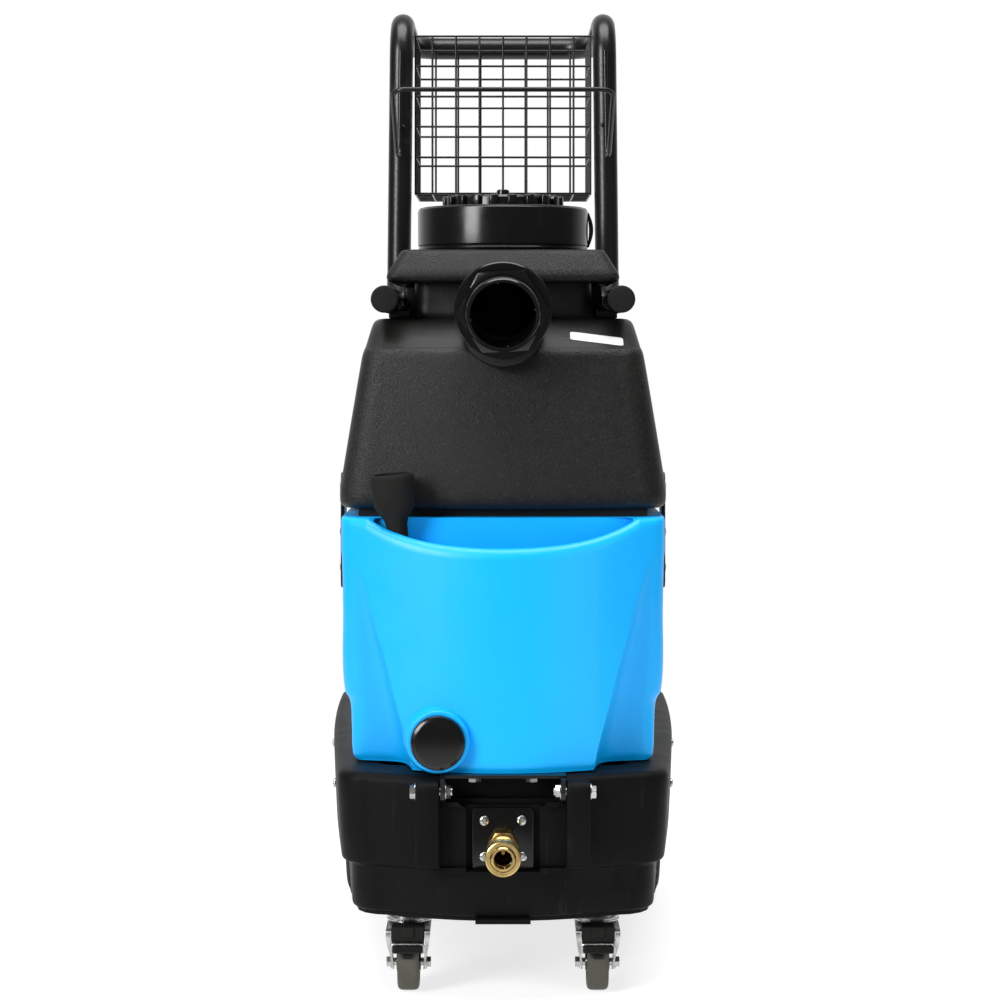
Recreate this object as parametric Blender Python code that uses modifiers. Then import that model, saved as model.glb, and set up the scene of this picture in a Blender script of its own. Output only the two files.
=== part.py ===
"""Carpet cleaner machine: an upright portable extractor on two front casters and two rear wheels.

A black base tub holds the vacuum motor and the pump. The blue solution tank and the black recovery
tank above it are one assembly with the tube handle, and tilt forward on two hinge bolts.
Metres, +Z up from the floor, +X to the right, and the front faces -Y.
"""

import math

import bmesh
import bpy
from mathutils import Matrix, Vector

# ---------------------------------------------------------------- driving dimensions, in metres
GAP = 0.0003  # air between pieces that touch
FRONT = -0.3014  # Y of the base's front plane; depths below are measured back from it
TUBE_R = 0.0127  # one inch handle tube
WALL = 0.005  # moulded tank wall

PAN_Z = 0.0757  # underside of the base pan
SKIRT_Z = 0.080  # lower edge of the base's skirt
STEP_Z = 0.1225  # where the skirt steps out to the upper wall
DECK_Z = 0.207  # top of the base's deck
BASE_REAR = 0.560
BASE_BULGE = 0.040  # how far the front wall's ends lie behind its middle

HINGE_DEPTH, HINGE_Z = -0.0085, 0.194
LUG_IN, LUG_OUT = 0.0575, 0.079  # hinge lugs, from and to this half width

TANK_Z, TANK_TOP = 0.2085, 0.437
TANK_REAR = 0.500
APRON_SAG = 0.0186 / 0.083**2  # curvature of the convex tank front
POCKET_BACK = 0.060
POCKET_FLOOR = 0.335
POCKET_HALF, POCKET_FOOT = 0.132, 0.098  # half widths above the rim and at the pocket's floor

WASTE_Z, WASTE_CREASE, WASTE_TOP = 0.4445, 0.594, 0.624
INLET_Z = 0.629
INLET_BORE = 0.0315
COVER_Z, COVER_TOP = 0.6585, 0.6905
LID_DEPTH, LID_R = 0.220, 0.085
RING_TOP = 0.7343

RAIL_X, RAIL_Z, RAIL_FRONT = 0.1129, 0.642, 0.103
UPRIGHT_DEPTH = 0.420
GRIP_X, GRIP_Z, GRIP_DEPTH = 0.1096, 0.948, 0.670
BASKET_FRONT, BASKET_REAR, BASKET_HALF = 0.4349, 0.5695, 0.0952
BASKET_Z, BASKET_TOP = 0.7620, 0.9335

CASTER_X, CASTER_DEPTH, CASTER_TRAIL = 0.0875, 0.069, 0.020
CASTER_R, CASTER_WIDTH = 0.0255, 0.020
PEDAL_REACH, PEDAL_Z = 0.043, 0.0515  # the pedal's cross pin, ahead of the swivel axis
WHEEL_DEPTH, WHEEL_R = 0.445, 0.089
WHEEL_IN, WHEEL_OUT = 0.138, 0.168
WELL_R, WELL_IN = 0.098, 0.131

COUPLER_Z = 0.1477
PANEL_Z, SOCKET_Z, LAMP_R = 0.165, 0.108, 0.0100  # rear panel, power inlet and lamp
SIDES = (("left", -1), ("right", 1))

FINISHES = {  # name: (linear RGB, roughness, metallic)
    "black_shell": ((0.012, 0.012, 0.012), 0.55, 0.0),
    "black_gloss": ((0.010, 0.010, 0.011), 0.25, 0.0),
    "blue_tank": ((0.006, 0.40, 0.98), 0.40, 0.0),
    "black_tube": ((0.012, 0.012, 0.012), 0.40, 0.0),
    "zinc": ((0.62, 0.63, 0.63), 0.30, 1.0),
    "steel": ((0.55, 0.55, 0.56), 0.35, 1.0),
    "brass": ((0.60, 0.42, 0.14), 0.28, 1.0),
    "rubber": ((0.016, 0.016, 0.015), 0.85, 0.0),
    "tread": ((0.075, 0.073, 0.058), 0.80, 0.0),
    "white_plastic": ((0.75, 0.75, 0.73), 0.50, 0.0),
}


def at(x, depth, z):
    """A point across, back from the base's front plane, and up."""
    return Vector((x, FRONT + depth, z))


# ---------------------------------------------------------------- scene and object helpers
def clear_scene():
    for obj in list(bpy.data.objects):
        bpy.data.objects.remove(obj, do_unlink=True)


def new_collection(name):
    collection = bpy.data.collections.new(name)
    bpy.context.scene.collection.children.link(collection)
    return collection


def make_materials():
    for name, (colour, roughness, metallic) in FINISHES.items():
        material = bpy.data.materials.new(name)
        material.use_nodes = True
        shader = material.node_tree.nodes["Principled BSDF"]
        shader.inputs["Base Color"].default_value = (*colour, 1.0)
        shader.inputs["Roughness"].default_value = roughness
        shader.inputs["Metallic"].default_value = metallic
        material.diffuse_color = (*colour, 1.0)


def mesh_of(name, bm):
    bmesh.ops.recalc_face_normals(bm, faces=bm.faces)
    mesh = bpy.data.meshes.new(name)
    bm.to_mesh(mesh)
    bm.free()
    mesh.shade_smooth()
    mesh.set_sharp_from_angle(angle=math.radians(35))
    return mesh


def part(name, shape, finish, pivot=None):
    """An object for one sub-part. A pivot puts its origin on its joint's axis."""
    mesh = mesh_of(name, shape) if isinstance(shape, bmesh.types.BMesh) else shape
    mesh.materials.clear()
    mesh.materials.append(bpy.data.materials[finish])
    obj = bpy.data.objects.new(name, mesh)
    PARTS.objects.link(obj)
    if pivot is not None:
        mesh.transform(Matrix.Translation(-pivot))
        obj.location = pivot
    return obj


def boolean(obj, name, shape, operation="DIFFERENCE"):
    """A live Boolean whose operand is a hidden mesh in world space."""
    tool = bpy.data.objects.new(f"{obj.name}_{name}", mesh_of(name, shape))
    CUTTERS.objects.link(tool)
    tool.hide_render = True
    tool.display_type = "WIRE"
    modifier = obj.modifiers.new(name, "BOOLEAN")
    modifier.operation = operation
    modifier.object = tool
    return tool


def bevel(obj, width, segments=2, angle=40):
    modifier = obj.modifiers.new("rounded_edges", "BEVEL")
    modifier.width = width
    modifier.segments = segments
    modifier.limit_method = "ANGLE"
    modifier.angle_limit = math.radians(angle)


def axis_empty(name, location):
    empty = bpy.data.objects.new(name, None)
    empty.location = location
    empty.empty_display_size = 0.05
    PARTS.objects.link(empty)
    return empty


def parent_to(empty, objects):
    for obj in objects:
        obj.parent = empty
        obj.matrix_parent_inverse = Matrix.Translation(-empty.location)


# ---------------------------------------------------------------- shape helpers
def box(low, high):
    bm = bmesh.new()
    bmesh.ops.create_cube(bm, size=1.0)
    size = high - low
    bmesh.ops.scale(bm, vec=size, verts=bm.verts)
    bmesh.ops.translate(bm, vec=(low + high) / 2, verts=bm.verts)
    return bm


def span(x, depth, z):
    """A box from three (low, high) pairs."""
    return box(at(x[0], depth[0], z[0]), at(x[1], depth[1], z[1]))


def rod(start, end, radius, end_radius=None, segments=24, turn=0.0):
    """A cylinder, cone or prism between two points. A turn rolls it about its own axis."""
    bm = bmesh.new()
    along = end - start
    second = radius if end_radius is None else end_radius
    bmesh.ops.create_cone(
        bm, cap_ends=True, segments=segments, radius1=radius, radius2=second, depth=along.length
    )
    frame = along.to_track_quat("Z", "Y").to_matrix().to_4x4()
    roll = Matrix.Rotation(turn, 4, "Z")
    place = Matrix.Translation((start + end) / 2)
    bmesh.ops.transform(bm, matrix=place @ frame @ roll, verts=bm.verts)
    return bm


def turned(name, outline, start, direction, finish, steps=32, closed=False):
    """A turned part. The outline's points are (radius, height along the direction), top to bottom."""
    mesh = bpy.data.meshes.new(name)
    points = [(radius, 0.0, height) for radius, height in outline]
    edges = [(i, i + 1) for i in range(len(points) - 1)]
    if closed:
        edges.append((len(points) - 1, 0))
    mesh.from_pydata(points, edges, [])
    obj = part(name, mesh, finish)
    obj.location = start
    obj.rotation_euler = direction.to_track_quat("Z", "Y").to_euler()
    screw = obj.modifiers.new("turn", "SCREW")
    screw.axis = "Z"
    screw.steps = steps
    screw.render_steps = steps
    screw.use_merge_vertices = True
    screw.merge_threshold = 0.00001
    return obj


def loft(rings):
    """A closed skin through rings of equal point counts, listed bottom to top."""
    bm = bmesh.new()
    loops = [[bm.verts.new(point) for point in ring] for ring in rings]
    count = len(loops[0])
    for lower, upper in zip(loops, loops[1:]):
        for i in range(count):
            j = (i + 1) % count
            bm.faces.new((lower[i], lower[j], upper[j], upper[i]))
    bm.faces.new(reversed(loops[0]))
    bm.faces.new(loops[-1])
    return bm


def mirrored_ring(half, z):
    """A whole ring from its right half, (x, depth) points from the front middle to the rear middle."""
    left = [(-x, depth) for x, depth in reversed(half) if x > 1e-9]
    return [at(x, depth, z) for x, depth in half + left]


def corner(x, depth, radius, first, steps=4):
    """Arc points of a rounded plan corner about (x, depth), a quarter turn from the first angle."""
    angles = [first + math.pi / 2 * k / steps for k in range(steps + 1)]
    return [(x + radius * math.sin(a), depth - radius * math.cos(a)) for a in angles]


def plan(z, front, rear, half_front, half_rear, bulge=0.0, radius=0.03, rear_radius=0.03):
    """A rounded plan outline: convex front, sides that widen to the rear, flat rear."""
    reach = half_front - radius
    half = [(reach * i / 5, front + bulge * (reach * i / 5 / half_front) ** 2) for i in range(5)]
    start = front + bulge * (reach / half_front) ** 2
    half += corner(reach, start + radius, radius, 0.0)
    side_start, side_end = start + radius, rear - rear_radius
    for i in range(1, 4):
        share = i / 4
        widened = half_front + (half_rear - half_front) * math.sin(math.pi / 2 * share)
        half.append((widened, side_start + (side_end - side_start) * share))
    half += corner(half_rear - rear_radius, side_end, rear_radius, math.pi / 2, 3)
    half.append((0.0, rear))
    return mirrored_ring(half, z)


def bent_path(corners, radius, steps=5):
    """The points of a tube's centre line, with each inner corner bent to the radius."""
    path = [corners[0]]
    for before, here, after in zip(corners, corners[1:], corners[2:]):
        back, ahead = (before - here).normalized(), (after - here).normalized()
        half_angle = back.angle(ahead) / 2
        reach = radius / math.tan(half_angle)
        centre = here + (back + ahead).normalized() * radius / math.sin(half_angle)
        start, end = here + back * reach - centre, here + ahead * reach - centre
        axis, sweep = start.cross(end), start.angle(end)
        path += [centre + Matrix.Rotation(sweep * k / steps, 3, axis) @ start for k in range(steps + 1)]
    return path + [corners[-1]]


def tube(name, path, radius, finish, resolution=2):
    """A round tube, wire or rail along a path."""
    curve = bpy.data.curves.new(name, "CURVE")
    curve.dimensions = "3D"
    curve.bevel_depth = radius
    curve.bevel_resolution = resolution
    curve.use_fill_caps = True
    spline = curve.splines.new("POLY")
    spline.points.add(len(path) - 1)
    for point, place in zip(spline.points, path):
        point.co = (*place, 1.0)
    curve.materials.append(bpy.data.materials[finish])
    obj = bpy.data.objects.new(name, curve)
    PARTS.objects.link(obj)
    return obj


# ---------------------------------------------------------------- base
def base_rings(inset=0.0, levels=None):
    """The base tub's outline at its levels: (z, front, half width at the front, at the rear)."""
    levels = levels or (
        (SKIRT_Z, -0.006, 0.1380, 0.1670),
        (SKIRT_Z + 0.004, -0.008, 0.1407, 0.1700),
        (STEP_Z - 0.001, -0.008, 0.1407, 0.1700),
        (STEP_Z + 0.001, -0.011, 0.1480, 0.1780),
        (STEP_Z + 0.006, -0.012, 0.1500, 0.1800),
        (DECK_Z - 0.007, -0.012, 0.1535, 0.1820),
        (DECK_Z - 0.0015, -0.010, 0.1515, 0.1800),
        (DECK_Z, -0.007, 0.1485, 0.1770),
    )
    return [
        plan(z, front + inset, BASE_REAR - inset, narrow - inset, wide - inset, BASE_BULGE)
        for z, front, narrow, wide in levels
    ]


def make_base():
    """The moulded tub: a skirted wall and a deck, with wheel wells, hinge lugs and a front recess."""
    base = part("base_housing", loft(base_rings()), "black_shell")
    cavity = (
        (0.070, -0.008, 0.1407, 0.1700),
        (STEP_Z + 0.004, -0.008, 0.1407, 0.1700),
        (STEP_Z + 0.006, -0.012, 0.1500, 0.1800),
        (DECK_Z - 0.004, -0.012, 0.1535, 0.1820),
    )
    boolean(base, "cavity", loft(base_rings(WALL, cavity)))
    deck_hole = plan(0.19, 0.055, 0.490, 0.118, 0.118, 0.0, 0.02, 0.02)
    boolean(base, "deck_hole", loft([deck_hole, [p + Vector((0, 0, 0.03)) for p in deck_hole]]))
    boolean(base, "hinge_block", hinge_block(), "UNION")
    boolean(base, "front_recess", front_recess())
    for side, sign in SIDES:
        boolean(base, f"lug_{side}", hinge_lug(sign), "UNION")
        boolean(base, f"lug_hole_{side}", lug_hole(sign))
        boolean(base, f"well_block_{side}", well_block(sign), "UNION")
        boolean(base, f"well_{side}", well_space(sign))
    axle = at(0, WHEEL_DEPTH, WHEEL_R)
    reach = Vector((0.2, 0, 0))
    boolean(base, "axle_hole", rod(axle - reach, axle + reach, 0.0068, segments=16))
    return base


def between(sign, low, high):
    """An (x low, x high) pair on one side of the middle."""
    return tuple(sorted((sign * low, sign * high)))


def hinge_block():
    """Backing for the recess between the hinge lugs."""
    wide = (-0.0600, 0.0600)
    lower = span(wide, (-0.008, 0.012), (STEP_Z - 0.004, 0.180))
    upper = span(wide, (0.010, 0.028), (0.176, DECK_Z - 0.003))
    return joined_union("hinge_backing", lower, upper)


def joined_union(name, first, second):
    """Two overlapping shapes made one closed shape."""
    whole = bpy.data.objects.new(name, mesh_of(name, first))
    CUTTERS.objects.link(whole)
    whole.hide_render = True
    whole.display_type = "WIRE"
    boolean(whole, "union", second, "UNION")
    graph = bpy.context.evaluated_depsgraph_get()
    graph.update()
    bm = bmesh.new()
    bm.from_mesh(bpy.data.meshes.new_from_object(whole.evaluated_get(graph)))
    bmesh.ops.remove_doubles(bm, verts=bm.verts, dist=0.00001)
    return bm


def front_recess():
    """The space between the lugs: shallow behind the hose plate, deep round the hinge leaf."""
    wide = (-LUG_IN - 0.0005, LUG_IN + 0.0005)
    lower = span(wide, (-0.030, 0.004), (STEP_Z + 0.0015, 0.177))
    upper = span(wide, (-0.031, 0.020), (0.174, DECK_Z + 0.010))
    return joined_union("recess_space", lower, upper)


def round_ended(wide, radius, flat_z, steps=12):
    """A plate across X, rounded about the hinge axis at one end and flat at the other height."""
    turn = math.pi if flat_z < HINGE_Z else -math.pi
    outline = [(HINGE_DEPTH - radius, flat_z)]
    for k in range(steps + 1):
        angle = math.pi - turn * k / steps
        outline.append((HINGE_DEPTH + radius * math.cos(angle), HINGE_Z + radius * math.sin(angle)))
    outline.append((HINGE_DEPTH + radius, flat_z))
    return loft([[at(x, depth, z) for depth, z in outline] for x in wide])


def hinge_lug(sign):
    """A vertical strap on the front wall, with a round top about the hinge bolt."""
    return round_ended(between(sign, LUG_IN, LUG_OUT), 0.0108, STEP_Z - 0.0035)


def lug_hole(sign):
    start, end = between(sign, LUG_IN - 0.010, LUG_OUT + 0.010)
    ends = (at(start, HINGE_DEPTH, HINGE_Z), at(end, HINGE_DEPTH, HINGE_Z))
    return rod(*ends, 0.0043, segments=16)


def well_block(sign):
    wide = between(sign, WELL_IN - 0.004, 0.160)
    low, high = WHEEL_DEPTH - WELL_R - 0.004, WHEEL_DEPTH + WELL_R + 0.004
    return span(wide, (low, high), (SKIRT_Z + 0.001, DECK_Z - 0.0035))


def well_space(sign):
    """Room for a rear wheel, open outwards and below."""
    near, far = at(sign * WELL_IN, WHEEL_DEPTH, WHEEL_R), at(sign * 0.2, WHEEL_DEPTH, WHEEL_R)
    wide = between(sign, WELL_IN, 0.2)
    below = span(wide, (WHEEL_DEPTH - WELL_R, WHEEL_DEPTH + WELL_R), (0.06, WHEEL_R))
    return joined_union(f"well_shape_{sign}", rod(near, far, WELL_R, segments=32), below)


def make_pan():
    """The flat pan that closes the tub from below and carries the motors and casters."""
    top = SKIRT_Z - GAP
    outline = ((PAN_Z, -0.004, 0.1355, 0.1640), (top, -0.004, 0.1355, 0.1640))
    pan = part("base_pan", loft(base_rings(0.0, outline)), "black_shell")
    boolean(pan, "front_tab", span((-0.025, 0.025), (-0.016, 0.02), (PAN_Z, top)), "UNION")
    for side, sign in SIDES:
        wide = between(sign, WELL_IN - 0.006, 0.2)
        depth = (WHEEL_DEPTH - WELL_R - 0.006, WHEEL_DEPTH + WELL_R + 0.006)
        boolean(pan, f"wheel_notch_{side}", span(wide, depth, (0.06, 0.1)))
    return pan


def make_motors():
    """The vacuum motor, and the pump with its motor, standing on the pan."""
    floor = SKIRT_Z
    can = [(0.0, 0.118), (0.040, 0.118), (0.046, 0.112), (0.046, 0.062), (0.065, 0.058)]
    can += [(0.065, 0.006), (0.060, 0.0), (0.0, 0.0)]
    turned("vacuum_motor", can, at(0.045, 0.290, floor), Vector((0, 0, 1)), "zinc")
    centre = at(-0.060, 0.150, floor + 0.036)
    body = [(0.0, 0.110), (0.030, 0.110), (0.034, 0.106), (0.034, 0.004), (0.030, 0.0), (0.0, 0.0)]
    turned("pump_motor", body, centre, Vector((0, 1, 0)), "black_shell", 24)
    head = span((-0.090, -0.030), (0.100, 0.150 - GAP), (floor + 0.006, floor + 0.066))
    bevel(part("pump_head", head, "white_plastic"), 0.006)
    saddle = span((-0.090, -0.030), (0.170, 0.240), (floor, floor + 0.020))
    cradle = part("pump_saddle", saddle, "zinc")
    along = Vector((0, 0.15, 0))
    boolean(cradle, "motor_seat", rod(centre, centre + along, 0.034 + GAP, segments=24))


def make_hose_connection():
    """Plate, brass coupler body and the sleeve that slides back on it."""
    half, face = 0.0265, 0.0037
    plate = span((-half, half), (0.0, face), (COUPLER_Z - half + 0.0035, COUPLER_Z + half))
    bevel(part("hose_plate", plate, "black_shell"), 0.0012, 1)
    nose, forward = 0.080, Vector((0, -1, 0))
    start = at(0, -GAP, COUPLER_Z)
    profile = [(0.0, 0.046), (0.0085, 0.046), (0.0085, nose), (0.0100, nose), (0.0113, nose - 0.0015)]
    profile += [(0.0113, 0.020), (0.0, 0.020)]
    body = turned("coupler_body", profile, start, forward, "brass", 24)
    hexagon = rod(Vector((0, 0, 0)), Vector((0, 0, 0.026)), 0.0140, segments=6)
    bpy.context.view_layer.update()
    bmesh.ops.transform(hexagon, matrix=body.matrix_world, verts=hexagon.verts)
    boolean(body, "hexagon", hexagon, "UNION")
    inner, outer, back, front = 0.0116, 0.0160, 0.048, 0.078
    ring = [(outer - 0.001, front), (outer, front - 0.002), (outer, front - 0.012)]
    ring += [(outer - 0.002, front - 0.014), (outer - 0.002, back), (inner, back), (inner, front)]
    turned("coupler_sleeve", ring, start, forward, "brass", 24, closed=True)


# ---------------------------------------------------------------- casters and rear wheels
def make_caster(side, sign):
    """A swivel caster: fixed plate, swivelling fork, wheel and brake pedal. The wheel leads forward."""
    pivot = at(sign * CASTER_X, CASTER_DEPTH, 0.0)
    x, depth = sign * CASTER_X, CASTER_DEPTH
    plate_z = PAN_Z - GAP
    plate = span((x - 0.025, x + 0.025), (depth - 0.025, depth + 0.025), (plate_z - 0.0025, plate_z))
    mount = part(f"caster_plate_{side}", plate, "zinc")
    top = pivot + Vector((0, 0, plate_z - 0.001))
    boolean(mount, "race", rod(pivot + Vector((0, 0, 0.0690)), top, 0.0180), "UNION")
    make_fork(side, x, depth, pivot)
    axle = at(x, depth - CASTER_TRAIL, CASTER_R)
    across = Vector((1, 0, 0))
    wide, rim = CASTER_WIDTH / 2, CASTER_R
    tread = [(rim - 0.0025, wide), (rim, wide - 0.0025), (rim, 0.0025 - wide)]
    tread += [(rim - 0.0025, -wide), (0.0043, -wide), (0.0043, wide)]
    turned(f"caster_wheel_{side}", tread, axle, across, "tread", 28, closed=True)
    make_pedal(side, x, depth)


def make_fork(side, x, depth, pivot):
    """The pressed steel fork with its axle bolt, one welded piece that swivels."""
    crown = rod(pivot + Vector((0, 0, 0.0560)), pivot + Vector((0, 0, 0.0687)), 0.0165)
    fork = part(f"caster_fork_{side}", crown, "zinc", pivot)
    roof = span((x - 0.0200, x + 0.0200), (depth - 0.048, depth + 0.012), (0.0560, 0.0590))
    boolean(fork, "roof", roof, "UNION")
    for edge in (-1, 1):
        inner, outer = between(edge, 0.0172, 0.0200)
        leg = side_leg(x + inner, x + outer, depth)
        boolean(fork, f"leg_{edge}", leg, "UNION")
    axle_y, reach = depth - CASTER_TRAIL, 0.0215
    pin = rod(at(x - reach, axle_y, CASTER_R), at(x + reach, axle_y, CASTER_R), 0.0038, segments=12)
    boolean(fork, "axle_bolt", pin, "UNION")


def side_leg(low, high, depth):
    """One leg of the fork, an outline that leans forward from the crown to the axle."""
    axle = depth - CASTER_TRAIL
    outline = [(depth + 0.012, 0.0585), (depth - 0.048, 0.0585), (depth - 0.048, 0.0470), (axle - 0.014, 0.040)]
    outline += [(axle - 0.0075, CASTER_R - 0.004), (axle, CASTER_R - 0.0085)]
    outline += [(axle + 0.0075, CASTER_R - 0.004), (depth - 0.002, 0.040)]
    near = [at(low, back, z) for back, z in outline]
    far = [at(high, back, z) for back, z in outline]
    return loft([near, far])


def make_pedal(side, x, depth):
    """The brake pedal, a bent plate on a cross pin between the fork's legs."""
    pin = at(x, depth - PEDAL_REACH, PEDAL_Z)
    bar = rod(pin - Vector((0.0165, 0, 0)), pin + Vector((0.0165, 0, 0)), 0.0035, segments=12)
    pedal = part(f"brake_pedal_{side}", bar, "steel", pin)
    tongue = span((x - 0.0165, x + 0.0165), (depth - 0.066, depth - PEDAL_REACH), (0.0505, 0.0525))
    boolean(pedal, "tongue", tongue, "UNION")


def make_rear_wheels():
    """The axle across the base, and a wheel in each well."""
    centre = at(0, WHEEL_DEPTH, WHEEL_R)
    reach = Vector((0.174, 0, 0))
    part("rear_axle", rod(centre - reach, centre + reach, 0.0064, segments=16), "steel")
    for side, sign in SIDES:
        half = (WHEEL_OUT - WHEEL_IN) / 2
        middle = centre + Vector((sign * (WHEEL_IN + WHEEL_OUT) / 2, 0, 0))
        outline = [(WHEEL_R - 0.006, half), (WHEEL_R, half - 0.006), (WHEEL_R, 0.006 - half)]
        outline += [(WHEEL_R - 0.006, -half), (0.060, -half), (0.058, -half + 0.006), (0.020, -half + 0.006)]
        outline += [(0.020, -half), (0.0068, -half), (0.0068, half), (0.020, half), (0.020, half - 0.006)]
        outline += [(0.058, half - 0.006), (0.060, half)]
        turned(f"rear_wheel_{side}", outline, middle, Vector((1, 0, 0)), "rubber", 32, closed=True)


# ---------------------------------------------------------------- solution tank
def tank_ring(z, half, apron, step, inset=0.0, front=0.0):
    """The tank's outline at one level: a convex apron whose edges step back to the cheeks."""
    radius = 0.026
    reach = half - inset - radius

    def curve(x):
        return front + inset + APRON_SAG * x * x

    apron = min(apron, reach - 0.014)
    outline = [(apron * i / 5, curve(apron * i / 5)) for i in range(6)]
    outline.append((apron + 0.005, curve(apron + 0.005) + step * 0.45))
    outline.append((apron + 0.012, curve(apron + 0.012) + step * 0.85))
    cheek = max(curve(reach) + step * 0.62, curve(apron + 0.012) + step * 0.88)
    outline += corner(reach, cheek + radius, radius, 0.0)
    rear = TANK_REAR - inset
    outline += corner(reach, rear - radius, radius, math.pi / 2, 3)
    outline.append((0.0, rear))
    return mirrored_ring(outline, z)


def tank_levels():
    """(z, half width) of the tank's sides, from the rounded bottom to the top edge."""
    return (
        (TANK_Z, 0.1330),
        (TANK_Z + 0.004, 0.1385),
        (TANK_Z + 0.014, 0.1410),
        (0.2640, 0.1445),
        (0.2700, 0.1490),
        (0.3050, 0.1515),
        (0.3500, 0.1505),
        (0.3900, 0.1510),
        (0.4220, 0.1520),
        (TANK_TOP - 0.002, 0.1515),
        (TANK_TOP, 0.1495),
    )


def tank_outline(z, half, inset=0.0, front=0.0):
    share = min(1.0, max(0.0, (z - TANK_Z) / (0.394 - TANK_Z)))
    apron = 0.0850 + (0.122 - 0.0850) * share
    return tank_ring(z, half, apron, 0.046 * (1.0 - share), inset, front)


def make_solution_tank():
    """The blue tank: hollow, with a fill pocket whose rim swoops low across the front."""
    rings = [tank_outline(z, half) for z, half in tank_levels()]
    tank = part("solution_tank", loft(rings), "blue_tank")
    inner = [(TANK_Z + WALL, 0.1400), (0.2660, 0.1440), (0.2760, 0.1490), (POCKET_FLOOR - 0.008, 0.1505)]
    cavity = [tank_outline(z, half, WALL) for z, half in inner]
    behind = POCKET_BACK + WALL
    for z in (POCKET_FLOOR - 0.006, TANK_TOP - WALL):
        cavity.append(flat_fronted(z, 0.1455, behind, TANK_REAR - WALL, len(cavity[0])))
    boolean(tank, "cavity", loft(cavity))
    boolean(tank, "pocket", pocket_space())
    boolean(tank, "rim_swoop", rim_swoop())
    fill = span((0.020, 0.090), (POCKET_BACK - 0.004, POCKET_BACK + 0.010), (0.350, 0.400))
    boolean(tank, "fill_hole", fill)
    boolean(tank, "cap_collar", cap_collar(), "UNION")
    boolean(tank, "cap_bore", rod(CAP_CENTRE, CAP_CENTRE + Vector((0, 0.05, 0)), 0.0180))
    return tank


def flat_fronted(z, half, front, rear, count):
    """A rounded rectangle with the given number of points, spread as the tank's rings spread theirs."""
    radius = 0.026
    reach = half - radius
    flat = [(reach * i / 8, front) for i in range(8)]
    outline = flat + corner(reach, front + radius, radius, 0.0)
    outline += corner(reach, rear - radius, radius, math.pi / 2, 3)
    outline.append((0.0, rear))
    ring = mirrored_ring(outline, z)
    assert len(ring) == count
    return ring


def pocket_space():
    """The crescent in front of the tank's inner front wall, open at the top and narrower below."""
    rings = []
    for z, half in ((POCKET_FLOOR, POCKET_FOOT), (TANK_TOP + 0.02, POCKET_HALF)):
        places = [half * i / 6 for i in range(7)]
        outline = [(x, 0.0070 + APRON_SAG * x * x) for x in places]
        outline += [(half, POCKET_BACK), (0.0, POCKET_BACK)]
        rings.append(mirrored_ring(outline, z))
    return loft(rings)


def rim_swoop():
    """A wide cylinder that lowers the pocket's front rim in the middle."""
    low, radius = 0.4130, 0.41
    centre_z = low + radius
    start, end = at(0, -0.06, centre_z), at(0, POCKET_BACK - 0.001, centre_z)
    return rod(start, end, radius, segments=128)


CAP_CENTRE = at(-0.0590, -0.0040, 0.2380)


def cap_collar():
    """The raised collar round the drain cap."""
    return rod(CAP_CENTRE, CAP_CENTRE + Vector((0, 0.022, 0)), 0.0280, 0.0290, segments=32)


def make_drain_cap():
    """The black screw cap at the foot of the tank, with its threaded plug."""
    outline = [(0.0, 0.0085), (0.0225, 0.0085), (0.0250, 0.0065), (0.0250, 0.0), (0.0176, 0.0)]
    outline += [(0.0176, -0.012), (0.0, -0.012)]
    place = CAP_CENTRE - Vector((0, GAP, 0))
    turned("drain_cap", outline, place, Vector((0, -1, 0)), "black_gloss", 32)


# ---------------------------------------------------------------- recovery tank
def waste_levels():
    """(z, front depth, rear depth, half width, corner radius) of the recovery tank."""
    return (
        (WASTE_Z, 0.064, 0.496, 0.1515, 0.026),
        (WASTE_Z + 0.004, 0.061, 0.500, 0.1545, 0.028),
        (0.4620, 0.0615, 0.500, 0.1548, 0.028),
        (WASTE_CREASE - 0.004, 0.0825, 0.490, 0.1335, 0.024),
        (WASTE_CREASE + 0.002, 0.087, 0.488, 0.1310, 0.024),
        (WASTE_TOP - 0.007, 0.120, 0.482, 0.1255, 0.024),
        (WASTE_TOP - 0.002, 0.130, 0.478, 0.1215, 0.024),
        (WASTE_TOP, 0.140, 0.470, 0.1140, 0.020),
    )


def waste_ring(z, front, rear, half, radius, inset=0.0):
    half_in = half - inset
    return plan(z, front + inset, rear - inset, half_in, half_in, 0.012, radius, radius)


def make_recovery_tank():
    """The hollow black tank with its neck, inlet boss and round clean-out opening."""
    tank = part("recovery_tank", loft([waste_ring(*level) for level in waste_levels()]), "black_shell")
    neck = [plan(z, 0.140, 0.352, 0.086, 0.086, 0.006, 0.016, 0.016) for z in (0.600, COVER_Z - GAP)]
    boolean(tank, "neck", loft(neck), "UNION")
    boss_low = at(0, 0.062, INLET_Z - 0.0115)
    boss = rod(boss_low, boss_low + Vector((0, 0.095, 0)), 0.0400, segments=32)
    boolean(tank, "inlet_boss", boss, "UNION")
    inner = [level for level in waste_levels()[1:6]]
    inner[0] = (WASTE_Z + WALL, *inner[0][1:])
    inner[-1] = (WASTE_TOP - WALL, *inner[-1][1:])
    boolean(tank, "cavity", loft([waste_ring(*level, WALL) for level in inner]))
    lid = at(0, LID_DEPTH, 0.0)
    boolean(tank, "clean_out", rod(lid + Vector((0, 0, 0.60)), lid + Vector((0, 0, 0.70)), 0.0660, segments=32))
    inlet = at(0, 0.050, INLET_Z)
    boolean(tank, "inlet_bore", rod(inlet, inlet + Vector((0, 0.14, 0)), 0.0350 + GAP, segments=32))
    drain = at(0.075, 0.470, 0.470)
    boolean(tank, "drain_bore", rod(drain, drain + Vector((0, 0.06, 0)), 0.0160, segments=20))
    return tank


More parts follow.
